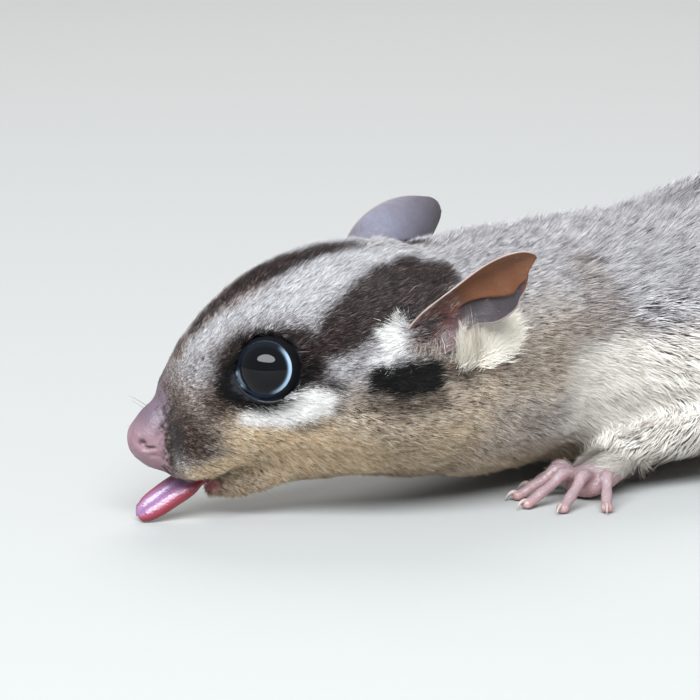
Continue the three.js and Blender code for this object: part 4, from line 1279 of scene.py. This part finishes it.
# Tongue: broad and moist, with a furrow, rolled a little towards the left

tongue = {
    "stations": [(9.6, 0.0, -5.5, 1.3, 0.5), (8.4, 0.0, -5.7, 1.7, 0.8), (7.2, 0.1, -6.2, 1.95, 1.0),
                 (5.6, 0.1, -7.1, 2.0, 1.05), (4.0, 0.1, -8.1, 1.95, 1.0), (2.6, 0.1, -8.9, 1.7, 0.85),
                 (1.9, 0.1, -9.3, 1.3, 0.6)],
    "steps": 40,
    "roll": 32,                              # degrees
    "furrow": 0.35,                          # mm deep
}


def makeTongue():
    obj = tubeAlong("tongueFlesh", tongue["stations"], tongue["steps"], 36, onHead)
    line = smoothLine(tongue["stations"], tongue["steps"])
    grid = headGrid(verticesOf(obj))
    nearby = ((grid[:, None, :] - line[None, :, :3]) ** 2).sum(2).argmin(1)
    middle = line[nearby, :3]
    off = grid - middle
    upness = np.array([v.value for v in obj.data.attributes["upness"].data])
    off[:, 2] -= tongue["furrow"] * np.exp(-(off[:, 1] / 0.35) ** 2) * smoothStep(0.6, 0.9, upness)
    angle = np.radians(tongue["roll"]) * smoothStep(9.5, 6.5, middle[:, 0])
    turned = np.stack([off[:, 0], off[:, 1] * np.cos(angle) + off[:, 2] * np.sin(angle),
                       off[:, 2] * np.cos(angle) - off[:, 1] * np.sin(angle)], 1)
    grid = middle + turned
    moveVertices(obj, np.array(noseTip) + (grid[:, [1, 0, 2]] @ headAxes.T) * mm)
    finishPiece(obj, tongueMaterial(), "tongue", "tongue")


def tongueMaterial():
    mat, tree, shader = newMaterial("wetTongue", Roughness=0.26, Coat_Weight=0.3, Coat_Roughness=0.05,
                                    Subsurface_Weight=0.15, Subsurface_Scale=0.0006)
    place = objectPlace(tree)
    blotch = noise(tree, place, 900.0, 3.0)
    colour = ramp(tree, attribute(tree, "upness"), [(0.0, (0.14, 0.004, 0.006)), (0.7, (0.2, 0.008, 0.015)),
                                                    (0.84, (0.27, 0.045, 0.08)), (0.94, (0.28, 0.13, 0.24)),
                                                    (1.0, (0.25, 0.15, 0.29))])
    colour = blotched(tree, blotch, 0.35, colour, (0.2, 0.05, 0.09))
    tree.links.new(colour, shader.inputs["Base Color"])
    bumpFrom(tree, shader, cells(tree, place, 4200.0), 0.4, 0.0001)
    return mat


makeTongue()
report("tongue")


# Ears: thin cupped leaves

ears = {
    "left": {"root": (31, 11.0, 13.1), "tip": (42.6, 16.6, 24.8), "open": (0.82, -0.5, -0.12),
             "lead": 60, "trail": 64, "radius": 3.5, "lobe": 1.0, "blunt": 6, "slant": 0.24, "swell": 0.14},
    "right": {"root": (31, -10.4, 13.2), "tip": (45.6, -17.2, 20.4), "open": (-0.82, -0.5, -0.12),
              "lead": 96, "trail": 82, "radius": 3.9, "lobe": 0.2, "blunt": 2.6, "slant": 0.0, "swell": 0.42},
}
earShape = {"length": 48, "around": 40, "thick": 0.32, "widest": 0.55, "ridge": 0.12, "ripple": 0.18,
            "notch": 0.84, "fold": 0.55}


def earOutline(u, blunt):
    widest = earShape["widest"]
    if u < widest:
        return 0.5 + 0.5 * math.sin(u / widest * math.pi / 2)
    return max(0, 1 - ((u - widest) / (1.01 - widest)) ** blunt) ** 0.55


def earSpot(e, u, v, face):                  # a place on the leaf, as left, back and up on the head
    onLeft = e["root"][1] > 0
    root, tip = (np.array((e[k][1], e[k][0], e[k][2]), float) for k in ("root", "tip"))
    mouth = np.array(e["open"], float)
    axis = unit(tip - root)
    length = np.linalg.norm(tip - root)
    mouth = unit(mouth - axis * (mouth @ axis))
    across = np.cross(axis, mouth)
    curl = earOutline(u, e["blunt"]) * (1.12 - 0.3 * u)
    bend = e["radius"] * (1.02 - 0.52 * e["swell"] + e["swell"] * math.sin(math.pi * min(1, u * 1.1)))
    lead, trail = math.radians(e["lead"]) * curl, math.radians(e["trail"]) * curl
    if onLeft:                               # its lower margin steps in below the tip
        notch = earShape["notch"]
        cut = 1 - 0.16 * smoothStep(notch - 0.05, notch + 0.04, u) * smoothStep(1.02, 0.9, u)
        lead = lead * cut * (1 - 0.42 * math.exp(-((u - 0.42) / 0.14) ** 2))
        trail = trail * (1.35 - 0.35 * smoothStep(0, 0.55, u))
    angle = -trail + (lead + trail) * v
    edge = min(1, min(v, 1 - v, (1 - u) * 1.5) * 8)
    inner = 1 - 2 * abs(v - 0.5)
    ridge = earShape["ridge"] * math.sin(u * 34) * inner ** 2 * math.sin(math.pi * min(1, u * 1.05))
    ripple = earShape["ripple"] * math.sin(u * 9 + 1.0) * (1 - inner) ** 3
    lower = v if onLeft else 1 - v
    border = 0.58 + 0.22 * smoothStep(0.5, 0.86, u)
    fold = earShape["fold"] * smoothStep(border, border + 0.05, lower) * smoothStep(0.3, 0.45, u) * e["lobe"]
    reach = bend + ripple + fold + (ridge - earShape["thick"] * (0.5 + 0.5 * edge) if face else ridge * 0.4)
    length = length * (1 - e["slant"] * max(0, lower - 0.35))
    spot = root + axis * u * length + across * reach * math.sin(angle)
    return spot + mouth * (bend - reach * math.cos(angle) - 0.12 * length * math.sin(math.pi * u))


def hairOnEar(obj, side, marks):             # thin short hairs along the leaf, on both faces
    places, normals = verticesOf(obj), normalsOf(obj)
    root, tip = (np.array(ears[side][k]) for k in ("root", "tip"))
    heading = unit((tip - root)[[1, 0, 2]]) @ headAxes.T
    way = laidFlat(np.tile(heading, (len(places), 1)), normals)
    u = marks[:, 0]
    coat = {"length": 1.5 - 0.7 * u, "rise": 0.16 - 0.08 * u, "width": np.full(len(u), 0.045)}
    ground = groundOf(obj, places, normals, way, coat)
    inner = marks[:, 2]
    cover = 0.02 + smoothStep(0.5, 0.15, u)
    growCoat("earDown_" + side, ground, 1500, cover * (0.2 + 0.8 * inner), 6, 70, roundHead, False, "taupe")


def makeEar(side):
    e = ears[side]
    rows, cols = earShape["length"], earShape["around"]
    places, marks = [], []
    for face in (0, 1):
        for i in range(rows + 1):
            for j in range(cols + 1):
                spot = earSpot(e, i / rows, j / cols, face)
                places.append(onHead(spot[1], spot[0], spot[2]))
                marks.append((i / rows, j / cols if side == "left" else 1 - j / cols, face))
    size = (rows + 1) * (cols + 1)

    def corner(f, i, j):
        return f * size + i * (cols + 1) + j

    faces = []
    for i in range(rows):
        for j in range(cols):
            faces.append((corner(0, i, j), corner(0, i, j + 1), corner(0, i + 1, j + 1), corner(0, i + 1, j)))
            faces.append((corner(1, i, j), corner(1, i + 1, j), corner(1, i + 1, j + 1), corner(1, i, j + 1)))
        faces += [(corner(0, i, j), corner(0, i + 1, j), corner(1, i + 1, j), corner(1, i, j))
                  for j in (0, cols)]
    for j in range(cols):
        faces += [(corner(0, i, j), corner(1, i, j), corner(1, i, j + 1), corner(0, i, j + 1))
                  for i in (0, rows)]
    obj = meshObject("earLeaf_" + side, places, faces)
    marks = np.array(marks)
    setColours(obj, "earPlace", [*marks.T, np.ones(len(marks))])
    outwards(obj)
    finishPiece(obj, earPaint, "ear_skin", "ear_" + side)
    hairOnEar(obj, side, marks)


def earMaterial():
    mat, tree, shader = newMaterial("earSkin", Roughness=0.52, Sheen_Weight=0.08, Sheen_Roughness=0.3,
                                    Subsurface_Weight=0.08, Subsurface_Scale=0.0008)
    u, v, inner, _ = channels(tree, "earPlace")
    place = objectPlace(tree)
    veins = noise(tree, place, 900.0, 5.0, Distortion=1.2)
    # inside of the leaf: magenta-brown at its foot and orange-brown further out, the orange partly its own
    # colour and partly painted glow of light shining through the thin leaf
    lit = ramp(tree, u, [(0.0, (0.075, 0.014, 0.022)), (0.28, (0.09, 0.024, 0.02)),
                         (0.5, (0.15, 0.045, 0.01)), (1.0, (0.13, 0.045, 0.014))])
    slate = ramp(tree, u, [(0.0, (0.08, 0.018, 0.024)), (0.3, (0.06, 0.018, 0.022)),
                           (0.42, (0.022, 0.017, 0.022)), (1.0, (0.034, 0.031, 0.042))])
    border = mapRange(tree, u, 0.5, 0.86, 0.58, 0.8, interpolation_type='SMOOTHSTEP')
    lower = mapRange(tree, sums(tree, 'SUBTRACT', v, border), 0.0, 0.04)
    body = mapRange(tree, u, 0.95, 0.88)
    inside = mixColour(tree, sums(tree, 'MULTIPLY', lower, body), lit, slate)
    # outside of the leaf: its blue-grey middle is partly its own colour and partly painted sheen
    outside = ramp(tree, u, [(0.0, (0.09, 0.07, 0.07)), (0.45, (0.19, 0.19, 0.25)), (1.0, (0.1, 0.085, 0.1))])
    colour = mixColour(tree, inner, outside, inside)
    colour = blotched(tree, veins, 0.45, colour, (0.05, 0.025, 0.02))
    rim = mapRange(tree, sums(tree, 'PINGPONG', v, 0.5), 0.0, 0.02, 0.6, 0.0)
    colour = mixColour(tree, rim, colour, (0.5, 0.4, 0.36))
    tree.links.new(colour, shader.inputs["Base Color"])
    bumpFrom(tree, shader, veins, 0.3, 0.0002)
    return mat


earPaint = earMaterial()
for side in sidePairs:
    makeEar(side)
report("ears")


# Hands and feet: soft clawed digits on a palm or sole, made one with a remesh

limbs = {
    "wrist": (14.4, 21),
    "handBack": {"left": 0, "right": 6},
    "ankle": (23.5, 103),
    "voxel": 0.23 * mm,
    "fingers": {"spread": (-58, -27, -5, 17, 42), "length": (5.6, 8, 9.2, 9.2, 7.4), "thick": 1.5,
                "lift": 2.2, "claw": 1.5},
    "toes": [                                # across, behind, spread, length, thickness, claw
        (-2.6, 4.6, -78, 5.6, 2.0, 0), (-1.7, 0.6, -14, 6.6, 1.45, 1.2), (-0.5, 0, -8, 7, 1.45, 1.2),
        (1, 0, 6, 9.2, 1.7, 1.5), (2.4, 1, 24, 8, 1.7, 1.5)],
}


def digit(root, heading, length, thick, lift, claw):
    def reach(share, height):
        return (root[0] + math.sin(heading) * length * share,
                root[1] - math.cos(heading) * length * share, height)

    half = thick / 2
    bones = [(*root, half * 1.1, half), (*reach(0.2, root[2] * 0.8 + lift * 0.62), half, half * 0.95),
             (*reach(0.38, root[2] * 0.55 + lift), half * 1.12, half * 1.08),
             (*reach(0.56, root[2] * 0.3 + lift * 0.78), half * 0.9, half * 0.86),
             (*reach(0.76, half * 1.1 + lift * 0.35), half * 0.98, half * 0.92),
             (*reach(0.88, half + lift * 0.12), half * 0.86, half * 0.8),
             (*reach(1, half * 0.86), half * 1.12, half * 0.86)]
    nail = None
    if claw:
        hook = [(*reach(0.97, half * 1.25), 0.26, 0.31),
                (*reach(1 + claw * 0.35 / length, half * 1.45), 0.22, 0.28),
                (*reach(1 + claw * 0.75 / length, half * 1.05), 0.14, 0.18),
                (*reach(1 + claw / length, half * 0.3), 0.04, 0.05)]
        nail = tubeAlong("claw", hook, 10, 10, onBody)
    return tubeAlong("digit", bones, 24, 16, onBody), nail


def extremity(side, palm, digits, name):
    made = [digit(*d) for d in digits]
    flesh = joined([tubeAlong("palm", palm, 12, 24, onBody)] + [d for d, _ in made], name + "Flesh_" + side)
    applied(flesh, 'REMESH', mode='VOXEL', voxel_size=limbs["voxel"])
    applied(flesh, 'SMOOTH', factor=0.5, iterations=5)
    places = verticesOf(flesh)
    places[:, 2] = np.maximum(places[:, 2], 0.02 * mm)
    moveVertices(flesh, places)
    grid = bodyGrid(places)
    setAttribute(flesh, "upness", smoothStep(-0.3, 0.6, normalsOf(flesh)[:, 2]))
    setAttribute(flesh, "low", smoothStep(1.6, 0.3, grid[:, 2]))
    finishPiece(flesh, pawPaint, "bare_skin", name + "_" + side)
    claws = joined([n for _, n in made if n], name + "Claws_" + side)
    finishPiece(claws, clawPaint, "bare_skin")
    return flesh


def makeHand(side):
    sign = sidePairs[side]
    x, y = limbs["wrist"]
    x, y = x * sign, y + limbs["handBack"][side]
    palm = [(x, y + 1.4, 4.4, 1.9, 1.7), (x, y - 0.4, 3.7, 2.2, 1.9),
            (x - sign * 0.3, y - 3.4, 2.6, 2.9, 2.0), (x - sign * 0.4, y - 6, 1.9, 3.1, 1.7)]
    f = limbs["fingers"]
    digits = []
    for i, (spread, length) in enumerate(zip(f["spread"], f["length"])):
        root = (x - sign * 0.4 + (i - 2) * 1.25 * sign, y - 6 + abs(i - 2) * 0.7, 2.3)
        digits.append((root, math.radians(spread) * sign, length, f["thick"], f["lift"], f["claw"]))
    return extremity(side, palm, digits, "hand")


def makeFoot(side):
    sign = sidePairs[side]
    x, y = limbs["ankle"]
    x = x * sign
    sole = [(x, y + 2.6, 3.6, 2.3, 2.5), (x, y + 1.4, 3.2, 2.6, 2.7), (x + sign * 0.2, y - 5, 2.5, 2.9, 2.3),
            (x + sign * 0.4, y - 12, 1.9, 3.5, 1.8), (x + sign * 0.4, y - 15, 1.7, 3.3, 1.5)]
    digits = [((x + sign * (0.4 + across), y - 14.6 + behind, 1.9), math.radians(spread) * sign, length,
               thick, 1.4, claw) for across, behind, spread, length, thick, claw in limbs["toes"]]
    return extremity(side, sole, digits, "foot")


def pawMaterial():
    mat, tree, shader = newMaterial("pawSkin", Roughness=0.36, Subsurface_Weight=0.12,
                                    Subsurface_Scale=0.0006)
    place = objectPlace(tree)
    blotch = noise(tree, place, 800.0, 5.0)
    colour = mixColour(tree, attribute(tree, "upness"), (0.42, 0.25, 0.26), (0.33, 0.245, 0.265))
    colour = mixColour(tree, attribute(tree, "low"), colour, (0.5, 0.29, 0.28))
    colour = blotched(tree, blotch, 0.6, colour, (0.3, 0.17, 0.17))
    tree.links.new(colour, shader.inputs["Base Color"])
    bumpFrom(tree, shader, cells(tree, place, 3000.0), 0.45, 0.00014)
    return mat


def clawMaterial():
    mat, tree, shader = newMaterial("clawHorn", Roughness=0.28, Coat_Weight=0.2, Coat_Roughness=0.2)
    place = objectPlace(tree)
    grain = noise(tree, place, 3000.0, 3.0)
    colour = ramp(tree, attribute(tree, "share"), [(0.0, (0.38, 0.26, 0.25)), (0.4, (0.46, 0.37, 0.34)),
                                                   (1.0, (0.36, 0.29, 0.26))])
    colour = blotched(tree, grain, 0.4, colour, (0.4, 0.3, 0.27))
    tree.links.new(colour, shader.inputs["Base Color"])
    bumpFrom(tree, shader, grain, 0.2, 0.0001)
    return mat


pawPaint = pawMaterial()
clawPaint = clawMaterial()
paws = {}
for side in sidePairs:
    paws["hand_" + side] = makeHand(side)
    paws["foot_" + side] = makeFoot(side)
report("hands and feet")


def furOnPaw(paw, name, count, seed):        # short hairs on the upper side of a hand or foot
    places, normals = verticesOf(paw), normalsOf(paw)
    grid = bodyGrid(places)
    way = laidFlat(np.tile([[0.0, -1.0, -0.1]], (len(places), 1)), normals)
    ahead = grid[:, 1].max() - grid[:, 1]        # of the wrist or heel
    near = smoothStep(7, 3, ahead)
    cover = smoothStep(0.05 - 0.6 * near, 0.5 - 0.6 * near, normals[:, 2])
    cover = cover * (0.06 + 0.94 * smoothStep(9, 5, ahead))
    coat = {"length": 0.7 + 2.1 * smoothStep(9, 3, ahead), "rise": 0.18 + 0.7 * smoothStep(8, 2, ahead),
            "width": np.full(len(places), 0.08)}
    growCoat(name, groundOf(paw, places, normals, way, coat), count, cover, 8, seed, roundBody, bent=False)


for seed, (key, paw) in enumerate(paws.items()):
    furOnPaw(paw, "coat_" + key, 6500, 50 + seed)


# Whiskers: fine tapered tubes from the lip, brow and cheek: root, direction, length and droop, all in mm

whiskers = [
    ((4.6, 3.2, 1.6), (-0.5, 1.0, 0.35), 5, 0.6), ((5.2, 3.8, 0.2), (-0.2, 1.0, 0.2), 7, 0.8),
    ((5.0, 3.9, -1.4), (-0.3, 1.0, 0.0), 6, 0.8), ((6.4, 4.2, 1.6), (0.25, 1.0, 0.4), 8, 1.0),
    ((6.8, 4.6, 0.0), (0.4, 1.0, 0.15), 9, 1.4), ((6.4, 4.6, -1.8), (0.3, 1.0, 0.0), 9, 1.2),
    ((8.2, 5.2, 1.2), (0.7, 1.0, 0.35), 10, 1.4), ((8.6, 5.4, -0.4), (0.8, 1.0, 0.1), 12, 1.8),
    ((8.2, 5.2, -2.2), (0.7, 1.0, -0.05), 10, 1.4), ((10.6, 4.8, 13.2), (0.8, 0.6, 0.6), 5, -0.4),
]


def makeWhiskers(side):
    sign = sidePairs[side]
    made = []
    for at, way, length, droop in whiskers:
        hit = skinSurface.find_nearest(onHead(at[0], at[1] * sign, at[2]))[0]
        root = headGrid(np.array([hit]))[0]
        way = unit(np.array([way[0], way[1] * sign, way[2]], float))
        rows = [(*(root + way * length * t - np.array([0, 0, droop]) * t * t), r, r)
                for t, r in ((-0.03, 0.03), (0.02, 0.03), (0.3, 0.026), (0.65, 0.018), (1.0, 0.007))]
        made.append(tubeAlong("whisker", rows, 14, 5, onHead))
    finishPiece(joined(made, "whiskers_" + side), whiskerPaint, "coat_dark")


whiskerPaint, tree, shader = newMaterial("whiskerHair", Roughness=0.4)
tree.links.new(ramp(tree, attribute(tree, "share"), [(0.0, (0.012, 0.01, 0.01)), (0.6, (0.03, 0.022, 0.02)),
                                                     (1.0, (0.16, 0.13, 0.11))]), shader.inputs["Base Color"])
for side in sidePairs:
    makeWhiskers(side)
report("whiskers")

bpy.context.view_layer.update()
report("done")
